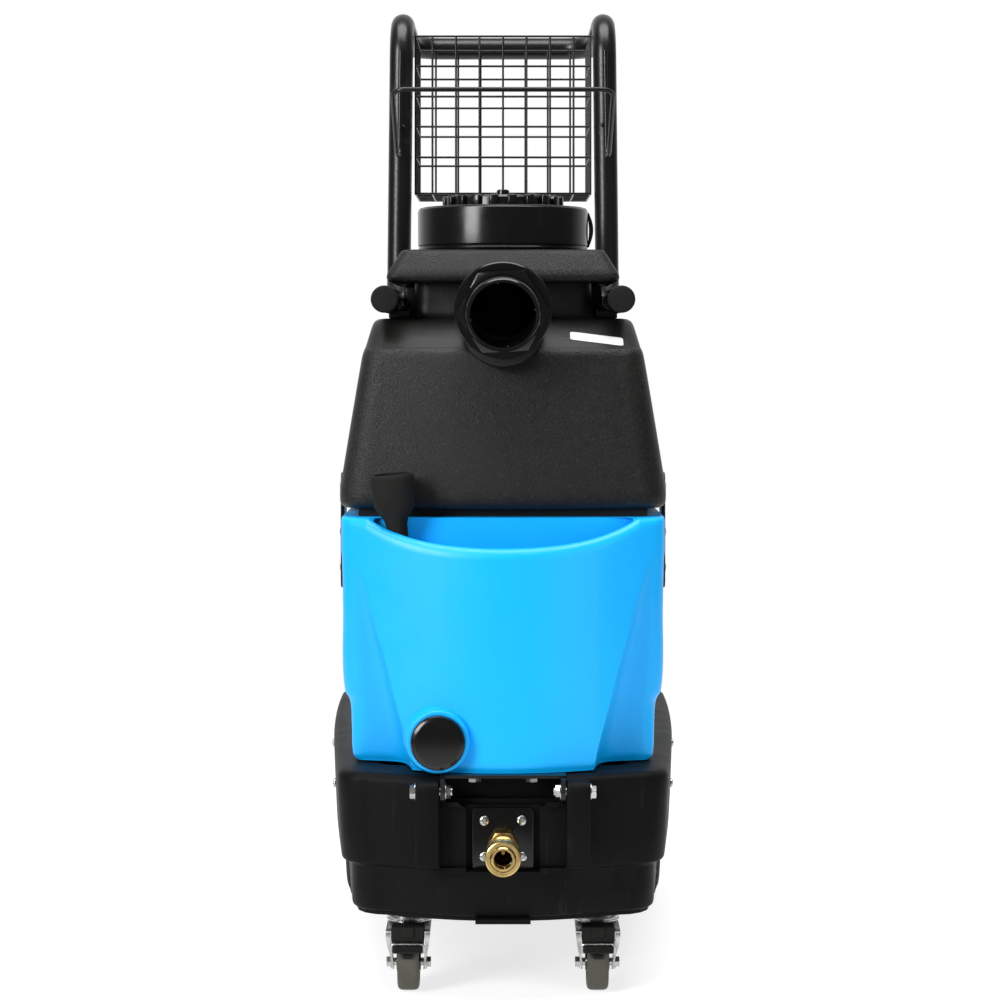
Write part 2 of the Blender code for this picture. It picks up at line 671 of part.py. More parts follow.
def make_gasket():
    """The foam ring between the two tanks."""
    ring = span((-0.136, 0.136), (0.080, 0.485), (TANK_TOP + GAP, WASTE_Z - GAP))
    gasket = part("tank_gasket", ring, "rubber")
    boolean(gasket, "middle", span((-0.122, 0.122), (0.094, 0.471), (0.42, 0.46)))


def make_top_cover():
    """The slab over the neck, with sloped ends and a hole under the lid ring."""
    levels = (
        (COVER_Z, 0.1190, 0.358, 0.1085),
        (COVER_Z + 0.003, 0.1155, 0.361, 0.1120),
        (COVER_Z + 0.008, 0.1170, 0.360, 0.1110),
        (COVER_TOP - 0.003, 0.1275, 0.353, 0.1000),
        (COVER_TOP, 0.1310, 0.350, 0.0965),
    )
    rings = [plan(z, front, rear, half, half, 0.003, 0.012, 0.012) for z, front, rear, half in levels]
    cover = part("top_cover", loft(rings), "black_shell")
    lid = at(0, LID_DEPTH, 0.0)
    hole = rod(lid + Vector((0, 0, 0.64)), lid + Vector((0, 0, 0.71)), 0.0660, segments=32)
    boolean(cover, "lid_hole", hole)


def make_lid():
    """The collar on the cover, and the finger-grip cap that closes it."""
    start, up = at(0, LID_DEPTH, COVER_TOP + GAP), Vector((0, 0, 1))
    high = RING_TOP - COVER_TOP
    ring = [(LID_R - 0.003, high), (LID_R, high - 0.003), (LID_R, 0.003), (LID_R - 0.002, 0.0)]
    ring += [(0.0600, 0.0), (0.0600, high)]
    turned("lid_ring", ring, start, up, "black_shell", 36, closed=True)
    base = RING_TOP + 2 * GAP
    outline = []
    count, tooth, root = 18, 0.0610, 0.0575
    for i in range(count):
        for share, radius in ((0.10, tooth), (0.50, tooth), (0.60, root), (1.0, root)):
            angle = 2 * math.pi * (i + share) / count
            outline.append(at(radius * math.cos(angle), LID_DEPTH + radius * math.sin(angle), 0.0))
    crown = loft([[p + Vector((0, 0, z)) for p in outline] for z in (base, base + 0.0115)])
    cap = part("lid_cap", crown, "black_gloss", at(0, LID_DEPTH, RING_TOP))
    centre = at(0, LID_DEPTH, 0.0)
    plug = rod(centre + Vector((0, 0, base - 0.016)), centre + Vector((0, 0, base + 0.002)), 0.0585, segments=36)
    boolean(cap, "plug", plug, "UNION")
    knob = rod(at(0, LID_DEPTH, base + 0.010), at(0, LID_DEPTH, base + 0.0185), 0.0065, segments=16)
    boolean(cap, "knob", knob, "UNION")


def make_inlet():
    """The hose inlet: a flanged stub through the boss, and the hexagon nut on it."""
    back = Vector((0, 1, 0))
    mouth = at(0, 0.016, INLET_Z)
    r = INLET_BORE
    profile = [(r + 0.0015, 0.0), (r + 0.0035, 0.002), (r + 0.0035, 0.039), (0.0455, 0.039), (0.0455, 0.0455)]
    profile += [(0.0350, 0.0455), (0.0350, 0.070), (r, 0.070), (r, 0.0)]
    turned("inlet_fitting", profile[::-1], mouth, back, "black_gloss", 32, closed=True)
    nut = rod(at(0, 0.040, INLET_Z), at(0, 0.0550 - GAP, INLET_Z), 0.0430, segments=6, turn=math.radians(10))
    ring = part("inlet_nut", nut, "black_gloss")
    hole = rod(at(0, 0.03, INLET_Z), at(0, 0.06, INLET_Z), r + 0.0035 + GAP, segments=32)
    boolean(ring, "thread", hole)


def make_filler_bell():
    """The rubber funnel plug that stands in the pocket."""
    foot, top = at(-0.0890, 0.0485, POCKET_FLOOR + 0.004), at(-0.1035, 0.0425, 0.4790)
    high = (top - foot).length
    outline = [(0.0140, high), (0.0165, high - 0.002), (0.0160, high - 0.030), (0.0095, high - 0.046)]
    outline += [(0.0095, 0.0), (0.0070, 0.0), (0.0070, high - 0.044), (0.0135, high - 0.028)]
    turned("filler_funnel", outline, foot, top - foot, "rubber", 20, closed=True)


def make_waste_internals():
    """The air standpipe and the float that shuts it off."""
    foot, up = at(-0.060, 0.420, WASTE_Z + WALL + GAP), Vector((0, 0, 1))
    pipe = [(0.0220, 0.115), (0.0220, 0.0), (0.0190, 0.0), (0.0190, 0.115)]
    turned("standpipe", pipe, foot, up, "white_plastic", 16, closed=True)
    seat = foot + Vector((0, 0, 0.115 + GAP))
    cage = [(0.0240, 0.032), (0.0240, 0.0), (0.0205, 0.0), (0.0205, 0.029), (0.0100, 0.029), (0.0100, 0.032)]
    turned("float_cage", cage, seat, up, "black_shell", 16, closed=True)
    ball = bmesh.new()
    bmesh.ops.create_uvsphere(ball, u_segments=12, v_segments=6, radius=0.0110)
    place = seat + Vector((0, 0, 0.0125))
    bmesh.ops.translate(ball, vec=place, verts=ball.verts)
    part("float_ball", ball, "white_plastic", place)


def make_joining_plates():
    """The side plates that screw the two tanks together."""
    for side, sign in SIDES:
        wide = between(sign, 0.1552, 0.1577)
        plate = part(f"side_plate_{side}", span(wide, (0.150, 0.205), (0.362, 0.474)), "black_tube")
        for i, z in enumerate((0.380, 0.415)):
            inner, outer = sign * (0.1520 + GAP), sign * 0.1560
            spacer = rod(at(inner, 0.1775, z), at(outer, 0.1775, z), 0.0060, segments=12)
            boolean(plate, f"spacer_{i}", spacer, "UNION")


# ---------------------------------------------------------------- handle, basket and hose hook
def make_handle():
    """One bent tube: rails along the tank, uprights, and the grip behind them."""
    right = [
        at(RAIL_X, RAIL_FRONT, RAIL_Z),
        at(RAIL_X, UPRIGHT_DEPTH, RAIL_Z),
        at(GRIP_X, UPRIGHT_DEPTH, GRIP_Z),
        at(GRIP_X, GRIP_DEPTH, GRIP_Z),
    ]
    left = [Vector((-p.x, p.y, p.z)) for p in reversed(right)]
    tube("handle_frame", bent_path(right + left, 0.040), TUBE_R, "black_tube")
    for side, sign in SIDES:
        face = at(sign * RAIL_X, RAIL_FRONT - GAP, RAIL_Z)
        outline = [(0.0, 0.0032), (0.0118, 0.0032), (0.0132, 0.0018), (0.0132, 0.0), (0.0, 0.0)]
        turned(f"rail_cap_{side}", outline, face, Vector((0, -1, 0)), "rubber", 24)
        for end, depth in (("front", 0.185), ("rear", 0.340)):
            make_rail_bracket(f"rail_bracket_{end}_{side}", sign, depth)


def make_rail_bracket(name, sign, depth):
    """A foot on the tank's shoulder with a saddle under the rail."""
    low = WASTE_TOP + GAP
    wide = between(sign, 0.0900, 0.1120)
    bracket = part(name, span(wide, (depth - 0.014, depth + 0.014), (low, low + 0.0080)), "black_tube")
    rail = at(sign * RAIL_X, depth, RAIL_Z)
    reach = Vector((0, 0.03, 0))
    boolean(bracket, "saddle", rod(rail - reach, rail + reach, TUBE_R + GAP, segments=24))


def make_hook():
    """The wire cradle for a coiled hose, on the front of the uprights."""
    face = UPRIGHT_DEPTH - TUBE_R - 0.0026 - GAP
    right = [
        at(0.1100, face, 0.915),
        at(0.1115, face, 0.800),
        at(0.1120, 0.355, 0.800),
        at(0.1126, 0.262, 0.858),
    ]
    bar = [Vector((-p.x, p.y, p.z)) for p in reversed(right)]
    tube("hose_hook", bent_path(right + bar, 0.012, 4), 0.0025, "black_tube", 1)


def wire_mat(name, cells, origin, across, up):
    """A flat grid of thin wire, with one cell count along each edge vector."""
    bm = bmesh.new()
    bmesh.ops.create_grid(bm, x_segments=cells[0], y_segments=cells[1], size=0.5)
    bmesh.ops.translate(bm, vec=(0.5, 0.5, 0.0), verts=bm.verts)
    third = across.cross(up).normalized()
    frame = Matrix((across, up, third)).transposed().to_4x4()
    bmesh.ops.transform(bm, matrix=Matrix.Translation(origin) @ frame, verts=bm.verts)
    mat = part(name, bm, "black_tube")
    wires = mat.modifiers.new("wires", "WIREFRAME")
    wires.thickness = 0.0024
    wires.use_boundary = True
    wires.use_even_offset = False
    return mat


def make_basket():
    """Five welded mats of wire behind the uprights, open at the top."""
    half, high = BASKET_HALF, BASKET_TOP - BASKET_Z
    near, far, clear = BASKET_FRONT, BASKET_REAR, 0.0028
    wide, tall = Vector((2 * half, 0, 0)), Vector((0, 0, high))
    wire_mat("basket_front", (8, 5), at(-half, near, BASKET_Z), wide, tall)
    wire_mat("basket_rear", (8, 5), at(-half, far, BASKET_Z), wide, tall)
    deep = Vector((0, far - near - 2 * clear, 0))
    for side, sign in SIDES:
        origin = at(sign * half, near + clear, BASKET_Z)
        wire_mat(f"basket_{side}", (4, 5), origin, deep, tall)
    inner = Vector((2 * (half - clear), 0, 0))
    wire_mat("basket_floor", (8, 4), at(clear - half, near + clear, BASKET_Z), inner, deep)


# ---------------------------------------------------------------- hinge and rear fittings
def make_hinge():
    """The steel leaf under the tank with its two ears, and a bolt through each ear and lug."""
    low, high = TANK_Z - GAP - 0.0028, TANK_Z - GAP
    leaf = part("hinge_leaf", span((-0.0569, 0.0569), (-0.0060, 0.0185), (low, high)), "black_tube")
    for side, sign in SIDES:
        ear = round_ended(between(sign, 0.0525, 0.0567), 0.0090, low + 0.0010)
        boolean(leaf, f"ear_{side}", ear, "UNION")
        boolean(leaf, f"ear_hole_{side}", rod(*lug_hole_ends(sign), 0.0043, segments=16))
        make_hinge_bolt(side, sign)
    for side, sign in SIDES:
        start = at(sign * 0.0265, 0.0075, low - GAP)
        head = rod(start, start - Vector((0, 0, 0.0045)), 0.0066, segments=6)
        part(f"leaf_bolt_{side}", head, "zinc")


def lug_hole_ends(sign):
    return (at(sign * 0.045, HINGE_DEPTH, HINGE_Z), at(sign * 0.060, HINGE_DEPTH, HINGE_Z))


def make_hinge_bolt(side, sign):
    """Head outside the lug, nut inside the ear, one shank through both."""
    def on_axis(x):
        return at(sign * x, HINGE_DEPTH, HINGE_Z)

    shank = rod(on_axis(0.0455), on_axis(LUG_OUT + 0.003), 0.0040, segments=16)
    bolt = part(f"hinge_bolt_{side}", shank, "zinc", on_axis(LUG_IN))
    head = rod(on_axis(LUG_OUT + GAP), on_axis(LUG_OUT + 0.0055), 0.0068, segments=6)
    boolean(bolt, "head", head, "UNION")
    nut = rod(on_axis(0.0475), on_axis(0.0522), 0.0068, segments=6, turn=0.3)
    boolean(bolt, "nut", nut, "UNION")


def make_control_panel():
    """The rear panel with its rocker switches, and the power inlet below it."""
    face, z = BASE_REAR + GAP, PANEL_Z
    plate = span((-0.075, 0.075), (face, face + 0.004), (z - 0.024, z + 0.024))
    panel = part("switch_panel", plate, "black_gloss")
    window = span((-0.066, 0.066), (BASE_REAR - 0.02, BASE_REAR + 0.01), (z - 0.018, z + 0.018))
    boolean(bpy.data.objects["base_housing"], "panel_window", window)
    for name, x in (("vacuum", -0.040), ("pump", 0.040)):
        wide, high = (x - 0.0115, x + 0.0115), (z - 0.0145, z + 0.0145)
        boolean(panel, f"{name}_opening", span(wide, (face - 0.01, face + 0.01), high))
        make_rocker(f"{name}_switch", x, z, face)
    behind, ahead = at(0, face - 0.004, z), at(0, face + 0.006, z)
    lamp_hole = rod(behind, ahead, LAMP_R + GAP, segments=20)
    boolean(panel, "lamp_opening", lamp_hole)
    part("power_lamp", rod(behind, ahead, LAMP_R, segments=20), "white_plastic")
    block = span((-0.024, 0.024), (face, face + 0.010), (SOCKET_Z - 0.017, SOCKET_Z + 0.017))
    socket = part("power_inlet", block, "black_gloss")
    hollow = span((-0.016, 0.016), (face + 0.002, face + 0.02), (SOCKET_Z - 0.011, SOCKET_Z + 0.011))
    boolean(socket, "socket", hollow)


def make_rocker(name, x, z, face):
    """A rocker that tips about a cross pin inside the panel."""
    pin = at(x, face + 0.001, z)
    outline = [(-0.0130, 0.0), (0.0, -0.009), (0.0130, 0.0), (0.0128, 0.0050), (0.0, 0.0032), (-0.0128, 0.0072)]
    near, far = ([pin + Vector((dx, out, up)) for up, out in outline] for dx in (-0.0105, 0.0105))
    part(name, loft([near, far]), "black_gloss", pin)


def make_dump_valve():
    """The recovery tank's drain: a stub body on the rear wall and the lever that turns in it."""
    back = Vector((0, 1, 0))
    start = at(0.075, 0.4745, 0.470)
    body = [(0.0, 0.060), (0.0200, 0.060), (0.0200, 0.032), (0.0240, 0.032), (0.0240, 0.0258), (0.0157, 0.0258)]
    body += [(0.0157, 0.0), (0.0, 0.0)]
    turned("dump_valve", body, start, back, "black_gloss", 24)
    hub = start + Vector((0, 0.060 + GAP, 0))
    lever = part("dump_lever", rod(hub, hub + Vector((0, 0.010, 0)), 0.0120, segments=20), "rubber", hub)
    arm = box(hub + Vector((-0.006, 0.002, -0.058)), hub + Vector((0.006, 0.008, 0.0)))
    boolean(lever, "arm", arm, "UNION")


# ---------------------------------------------------------------- assembly
def group_moving_pieces():
    """Parents each moving body to an empty on its joint's axis."""
    names = {obj.name: obj for obj in PARTS.objects}
    fixed = ("base_", "hinge_bolt", "hose_plate", "coupler_", "caster_", "brake_", "rear_", "vacuum_", "pump_")
    fixed += ("switch_", "power_")
    tanks = [obj for name, obj in names.items() if not name.startswith(fixed)]
    parent_to(axis_empty("tank_hinge_axis", at(0, HINGE_DEPTH, HINGE_Z)), tanks)
    for side, sign in SIDES:
        swivel = axis_empty(f"caster_swivel_axis_{side}", at(sign * CASTER_X, CASTER_DEPTH, 0.0))
        parent_to(swivel, [names[f"{piece}_{side}"] for piece in ("caster_fork", "caster_wheel", "brake_pedal")])


def build():
    make_materials()
    make_base()
    make_pan()
    make_motors()
    make_hose_connection()
    for side, sign in SIDES:
        make_caster(side, sign)
    make_rear_wheels()
    make_solution_tank()
    make_drain_cap()
    make_recovery_tank()
    make_gasket()
    make_top_cover()
    make_lid()
    make_inlet()
    make_filler_bell()
    make_waste_internals()
    make_joining_plates()
    make_handle()
    make_hook()
    make_basket()
    make_hinge()
    make_control_panel()
    make_dump_valve()
    group_moving_pieces()


clear_scene()
PARTS = new_collection("carpet_cleaner_machine")
CUTTERS = new_collection("cutters")
build()
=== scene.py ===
import logging
import math
from collections.abc import Iterable, Sequence
from dataclasses import dataclass, field
from enum import Enum

import bmesh
import bpy
from mathutils import Matrix, Vector


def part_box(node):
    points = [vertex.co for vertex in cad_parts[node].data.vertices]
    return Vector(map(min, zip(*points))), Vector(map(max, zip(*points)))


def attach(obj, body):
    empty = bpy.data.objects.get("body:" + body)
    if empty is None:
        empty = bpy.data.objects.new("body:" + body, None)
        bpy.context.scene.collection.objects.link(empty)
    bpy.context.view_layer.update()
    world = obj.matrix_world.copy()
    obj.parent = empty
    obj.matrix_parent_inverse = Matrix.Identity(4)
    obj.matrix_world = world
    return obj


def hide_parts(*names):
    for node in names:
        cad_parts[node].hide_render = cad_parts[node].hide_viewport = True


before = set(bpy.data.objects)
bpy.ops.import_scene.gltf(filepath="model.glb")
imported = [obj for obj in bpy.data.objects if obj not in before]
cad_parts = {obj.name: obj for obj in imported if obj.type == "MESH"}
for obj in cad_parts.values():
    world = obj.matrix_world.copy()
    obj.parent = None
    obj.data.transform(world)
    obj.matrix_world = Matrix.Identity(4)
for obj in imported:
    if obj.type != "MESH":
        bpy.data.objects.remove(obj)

LOG = logging.getLogger("carpet_cleaner")
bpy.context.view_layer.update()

FRONT = -0.3014  # Y of the base's front plane; depths are measured back from it
GAP = 0.0003  # clearance between touching pieces
SAME = 0.000001  # points closer than this are one
LID_DEPTH, CLEAN_OUT = 0.22, 0.066  # the lid's axis, and the radius of the hole under it
SIDES = (("left", -1), ("right", 1))
ACROSS, BACK, UP = Vector((1, 0, 0)), Vector((0, 1, 0)), Vector((0, 0, 1))
FULL_TURN, QUARTER = 2 * math.pi, math.pi / 2

Points = Sequence[Vector]
Outline = Sequence[tuple[float, float]]


def at(x: float, depth: float, z: float) -> Vector:
    """A point across, back from the base's front plane, and up."""
    return Vector((x, FRONT + depth, z))


def middle(node: str) -> Vector:
    """The middle of a CAD node's box."""
    low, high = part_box(node)
    return (low + high) / 2


def face_middle(node: str, back: bool = False) -> Vector:
    """The middle of the front or back face of a CAD node's box."""
    low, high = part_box(node)
    return Vector(((low.x + high.x) / 2, high.y if back else low.y, (low.z + high.z) / 2))


def between(sign: float, low: float, high: float) -> tuple[float, float]:
    """An (x low, x high) pair on one side of the middle."""
    return (sign * low, sign * high) if sign > 0 else (sign * high, sign * low)


def ramp(value: float, stops: Outline) -> float:
    """Reads a smooth run of (position, value) stops.

    Args:
        value: the position to read.
        stops: at least two stops in rising order.

    Returns:
        The value there, eased between neighbouring stops by a monotone cubic.
    """
    if value <= stops[0][0]:
        return stops[0][1]
    if value >= stops[-1][0]:
        return stops[-1][1]
    slopes = [(b[1] - a[1]) / (b[0] - a[0]) for a, b in zip(stops, stops[1:])]
    tangents = [slopes[0], *[(a + b) / 2 if a * b > 0 else 0.0 for a, b in zip(slopes, slopes[1:])], slopes[-1]]
    for i, (a, b) in enumerate(zip(stops, stops[1:])):
        if value > b[0]:
            continue
        width = b[0] - a[0]
        t = (value - a[0]) / width
        limit = 3 * abs(slopes[i])
        m0 = max(-limit, min(limit, tangents[i])) * width
        m1 = max(-limit, min(limit, tangents[i + 1])) * width
        t2, t3 = t * t, t * t * t
        return (2 * t3 - 3 * t2 + 1) * a[1] + (t3 - 2 * t2 + t) * m0 + (3 * t2 - 2 * t3) * b[1] + (t3 - t2) * m1
    return stops[-1][1]


def ease(t: float) -> float:
    """A smooth step from 0 to 1."""
    t = max(0.0, min(1.0, t))
    return t * t * (3 - 2 * t)


# --- materials
class Value:
    """A shader socket that takes part in Python arithmetic."""

    def __init__(self, recipe: "Recipe", socket: bpy.types.NodeSocket) -> None:
        """Wraps the socket of a recipe's node."""
        self.recipe = recipe
        self.socket = socket

    def _with(self, operation: str, *others: "Value | float") -> "Value":
        """Adds one Math node on this value and the others."""
        return self.recipe.math(operation, self, *others)

    def __add__(self, other: "Value | float") -> "Value":
        """Sum."""
        return self._with("ADD", other)

    __radd__ = __add__

    def __mul__(self, other: "Value | float") -> "Value":
        """Product."""
        return self._with("MULTIPLY", other)

    __rmul__ = __mul__

    def __sub__(self, other: "Value | float") -> "Value":
        """Difference."""
        return self._with("SUBTRACT", other)

    def __rsub__(self, other: float) -> "Value":
        """Difference from a number."""
        return self.recipe.math("SUBTRACT", other, self)

    def __truediv__(self, other: "Value | float") -> "Value":
        """Quotient."""
        return self._with("DIVIDE", other)

    def __pow__(self, other: float) -> "Value":
        """Power."""
        return self._with("POWER", other)

    def clamped(self) -> "Value":
        """The value held between 0 and 1."""
        return self._with("MINIMUM", 1.0)._with("MAXIMUM", 0.0)


class Recipe:
    """One material's node tree under construction."""

    def __init__(self, name: str) -> None:
        """Starts a material with a Principled shader.

        Args:
            name: the material's name.
        """
        self.material = bpy.data.materials.new(name)
        self.material.use_nodes = True
        self.tree = self.material.node_tree
        self.shader = self.tree.nodes["Principled BSDF"]
        self.coords = Value(self, self.node("ShaderNodeTexCoord").outputs["Object"])

    def node(
        self,
        kind: str,
        settings: dict[str, object] | None = None,
        inputs: dict[str | int, object] | None = None,
    ) -> bpy.types.Node:
        """Adds one node.

        Args:
            kind: the node's type.
            settings: its attributes, set before the inputs; "stops" fills a colour ramp.
            inputs: values or links by socket name or index.

        Returns:
            The new node.
        """
        made = self.tree.nodes.new(kind)
        for key, value in (settings or {}).items():
            if key == "stops":
                self._fill_ramp(made, value)
            else:
                setattr(made, key, value)
        for key, value in (inputs or {}).items():
            self.feed(made.inputs[key], value)
        return made

    @staticmethod
    def _fill_ramp(made: bpy.types.Node, stops: Sequence[tuple[float, float]]) -> None:
        """Sets a colour ramp's stops to (position, grey) pairs."""
        elements = made.color_ramp.elements
        while len(elements) < len(stops):
            elements.new(0.5)
        for element, (position, grey) in zip(elements, stops):
            element.position = position
            element.color = (grey, grey, grey, 1.0)

    def feed(self, socket: bpy.types.NodeSocket, value: object) -> None:
        """Links a value to a socket, or sets the socket's number or colour."""
        if isinstance(value, Value):
            self.tree.links.new(value.socket, socket)
        elif isinstance(value, tuple) and len(value) == 3 and socket.type == "RGBA":
            socket.default_value = (*value, 1.0)
        else:
            socket.default_value = value

    def math(self, operation: str, *values: "Value | float") -> Value:
        """One Math node on the given values."""
        made = self.node("ShaderNodeMath", {"operation": operation}, dict(enumerate(values)))
        return Value(self, made.outputs[0])

    def axis(self, letter: str) -> Value:
        """One coordinate of the surface point."""
        made = self.node("ShaderNodeSeparateXYZ", inputs={0: self.coords})
        return Value(self, made.outputs[letter])

    def noise(self, scale: float, detail: float = 2.0, stretch: tuple[float, float, float] | None = None) -> Value:
        """Noise over the surface.

        Args:
            scale: grains per metre.
            detail: octaves.
            stretch: a scale for each axis, for a pattern drawn out along one.

        Returns:
            The noise, from 0 to 1 about 0.5.
        """
        place = self.coords
        if stretch is not None:
            mapped = self.node("ShaderNodeMapping", inputs={"Vector": place, "Scale": stretch})
            place = Value(self, mapped.outputs[0])
        made = self.node("ShaderNodeTexNoise", inputs={"Vector": place, "Scale": scale, "Detail": detail})
        return Value(self, made.outputs[0])

    def cells(self, scale: float) -> Value:
        """Distance to the nearest of scattered points, in grains per metre."""
        made = self.node("ShaderNodeTexVoronoi", {"feature": "SMOOTH_F1"}, {"Vector": self.coords, "Scale": scale})
        return Value(self, made.outputs["Distance"])

    def steps(self, value: Value, stops: Sequence[tuple[float, float]]) -> Value:
        """A value read through a grey ramp."""
        made = self.node("ShaderNodeValToRGB", {"stops": stops}, {0: value})
        return Value(self, made.outputs[0])

    def mix(self, share: Value, first: object, second: object) -> Value:
        """A colour between two colours."""
        made = self.node("ShaderNodeMix", {"data_type": "RGBA"}, {0: share, 6: first, 7: second})
        return Value(self, made.outputs[2])

    def bump(self, height: Value, depth: float) -> None:
        """Feeds a height, in shares of the depth in metres, to the shader's normal."""
        made = self.node("ShaderNodeBump", inputs={"Strength": 1.0, "Distance": depth, "Height": height})
        self.feed(self.shader.inputs["Normal"], Value(self, made.outputs[0]))

    def surface(self, **values: object) -> bpy.types.Material:
        """Feeds the shader's sockets by name, with _ for a space, and returns the material."""
        for key, value in values.items():
            self.feed(self.shader.inputs[key.replace("_", " ")], value)
        return self.material


Colour = tuple[float, float, float]


@dataclass(frozen=True)
class Moulded:
    """Moulded plastic with a grained skin, handling scuffs, a patchy worn tone, and pale specks painted on the grain as
    glints.
    """

    name: str
    colour: Colour
    worn: Colour
    roughness: float = 0.5
    grain: float = 700.0
    grain_depth: float = 0.00025
    specular: float = 0.3
    coat: float = 0.0
    scuffs: float = 0.5
    # share of pale specks painted into the colour as glints on the pebbles (painted highlights)
    glint_specks: float = 0.0
    smooth_above: float = 0.0

    def build(self) -> bpy.types.Material:
        """Makes the material.

        Returns:
            The node material.
        """
        r = Recipe(self.name)
        cloud = r.noise(9.0, 4.0)
        scratch = r.steps(r.noise(160.0, 3.0, (1.0, 1.0, 0.12)), ((0.62, 0.0), (0.7, 1.0)))
        marks = (scratch * r.steps(cloud, ((0.45, 0.0), (0.62, 1.0))) * self.scuffs).clamped()
        tone = r.mix(r.steps(cloud, ((0.3, 0.0), (0.75, 1.0))), self.colour, self.worn)
        colour = r.mix(marks * 0.5, tone, tuple(min(1.0, c * 1.6 + 0.02) for c in self.colour))
        pebble = r.cells(self.grain) * 0.7 + r.noise(self.grain * 0.8, 2.0)
        # pale specks that stand in for glints on the pebbles: painted highlights
        glint_mask = r.steps(r.noise(self.grain * 0.62, 3.0), ((0.54, 0.0), (0.68, 1.0))) * self.glint_specks
        if self.smooth_above > 0.0:
            fade = ((self.smooth_above - r.axis("Z")) * 400.0 + 0.5).clamped()
            pebble = pebble * (fade * 0.85 + 0.15)
            glint_mask = glint_mask * (fade * 0.7 + 0.3)
        # mixes the painted glint specks into the colour
        if self.glint_specks > 0.0:
            colour = r.mix(glint_mask, colour, (0.034, 0.034, 0.031))
        r.bump(pebble + r.noise(26.0, 1.0) * 0.8, self.grain_depth)
        rough = r.noise(55.0, 3.0) * 0.16 + marks * 0.12 + (self.roughness - 0.08)
        return r.surface(
            Base_Color=colour, Roughness=rough.clamped(), Specular_IOR_Level=self.specular, Coat_Weight=self.coat
        )


@dataclass(frozen=True)
class Metal:
    """Bare or plated metal with brushing and patches of tarnish."""

    name: str
    colour: Colour
    tarnish: Colour
    roughness: float = 0.28
    brush: tuple[float, float, float] = (1.0, 1.0, 0.1)
    brush_depth: float = 0.00003

    def build(self) -> bpy.types.Material:
        """Makes the material."""
        r = Recipe(self.name)
        patches = r.steps(r.noise(120.0, 4.0), ((0.42, 0.0), (0.68, 1.0)))
        lines = r.noise(1500.0, 2.0, self.brush)
        r.bump(lines + r.noise(300.0, 2.0) * 0.6, self.brush_depth)
        rough = lines * 0.14 + patches * 0.16 + (self.roughness - 0.07)
        return r.surface(
            Base_Color=r.mix(patches * 0.75, self.colour, self.tarnish), Roughness=rough.clamped(), Metallic=1.0
        )


@dataclass(frozen=True)
class PowderCoat:
    """Satin black coating on steel tube and wire, with fine orange peel and rubbed spots."""

    name: str
    colour: Colour
    roughness: float = 0.36
    specular: float = 0.45

    def build(self) -> bpy.types.Material:
        """Makes the material."""
        r = Recipe(self.name)
        peel = r.noise(520.0, 2.0)
        rubbed = r.steps(r.noise(42.0, 5.0), ((0.63, 0.0), (0.72, 1.0)))
        r.bump(peel, 0.00007)
        light = tuple(c * 1.7 + 0.008 for c in self.colour)
        rough = peel * 0.1 + rubbed * 0.12 + (self.roughness - 0.05)
        return r.surface(
            Base_Color=r.mix(rubbed * 0.6, self.colour, light),
            Roughness=rough.clamped(),
            Specular_IOR_Level=self.specular,
        )


@dataclass(frozen=True)
class Rubber:
    """Rubber or an elastic tread, matt, with dust in its pores."""

    name: str
    colour: Colour
    dust: Colour
    roughness: float = 0.8
    grain: float = 900.0
    specular: float = 0.3

    def build(self) -> bpy.types.Material:
        """Makes the material."""
        r = Recipe(self.name)
        film = r.steps(r.noise(38.0, 5.0), ((0.4, 0.0), (0.72, 1.0)))
        pores = r.noise(self.grain, 3.0)
        r.bump(pores + r.noise(90.0, 2.0) * 0.8, 0.00018)
        rough = pores * 0.12 + film * 0.08 + (self.roughness - 0.08)
        return r.surface(
            Base_Color=r.mix(film * 0.6, self.colour, self.dust),
            Roughness=rough.clamped(),
            Specular_IOR_Level=self.specular,
        )


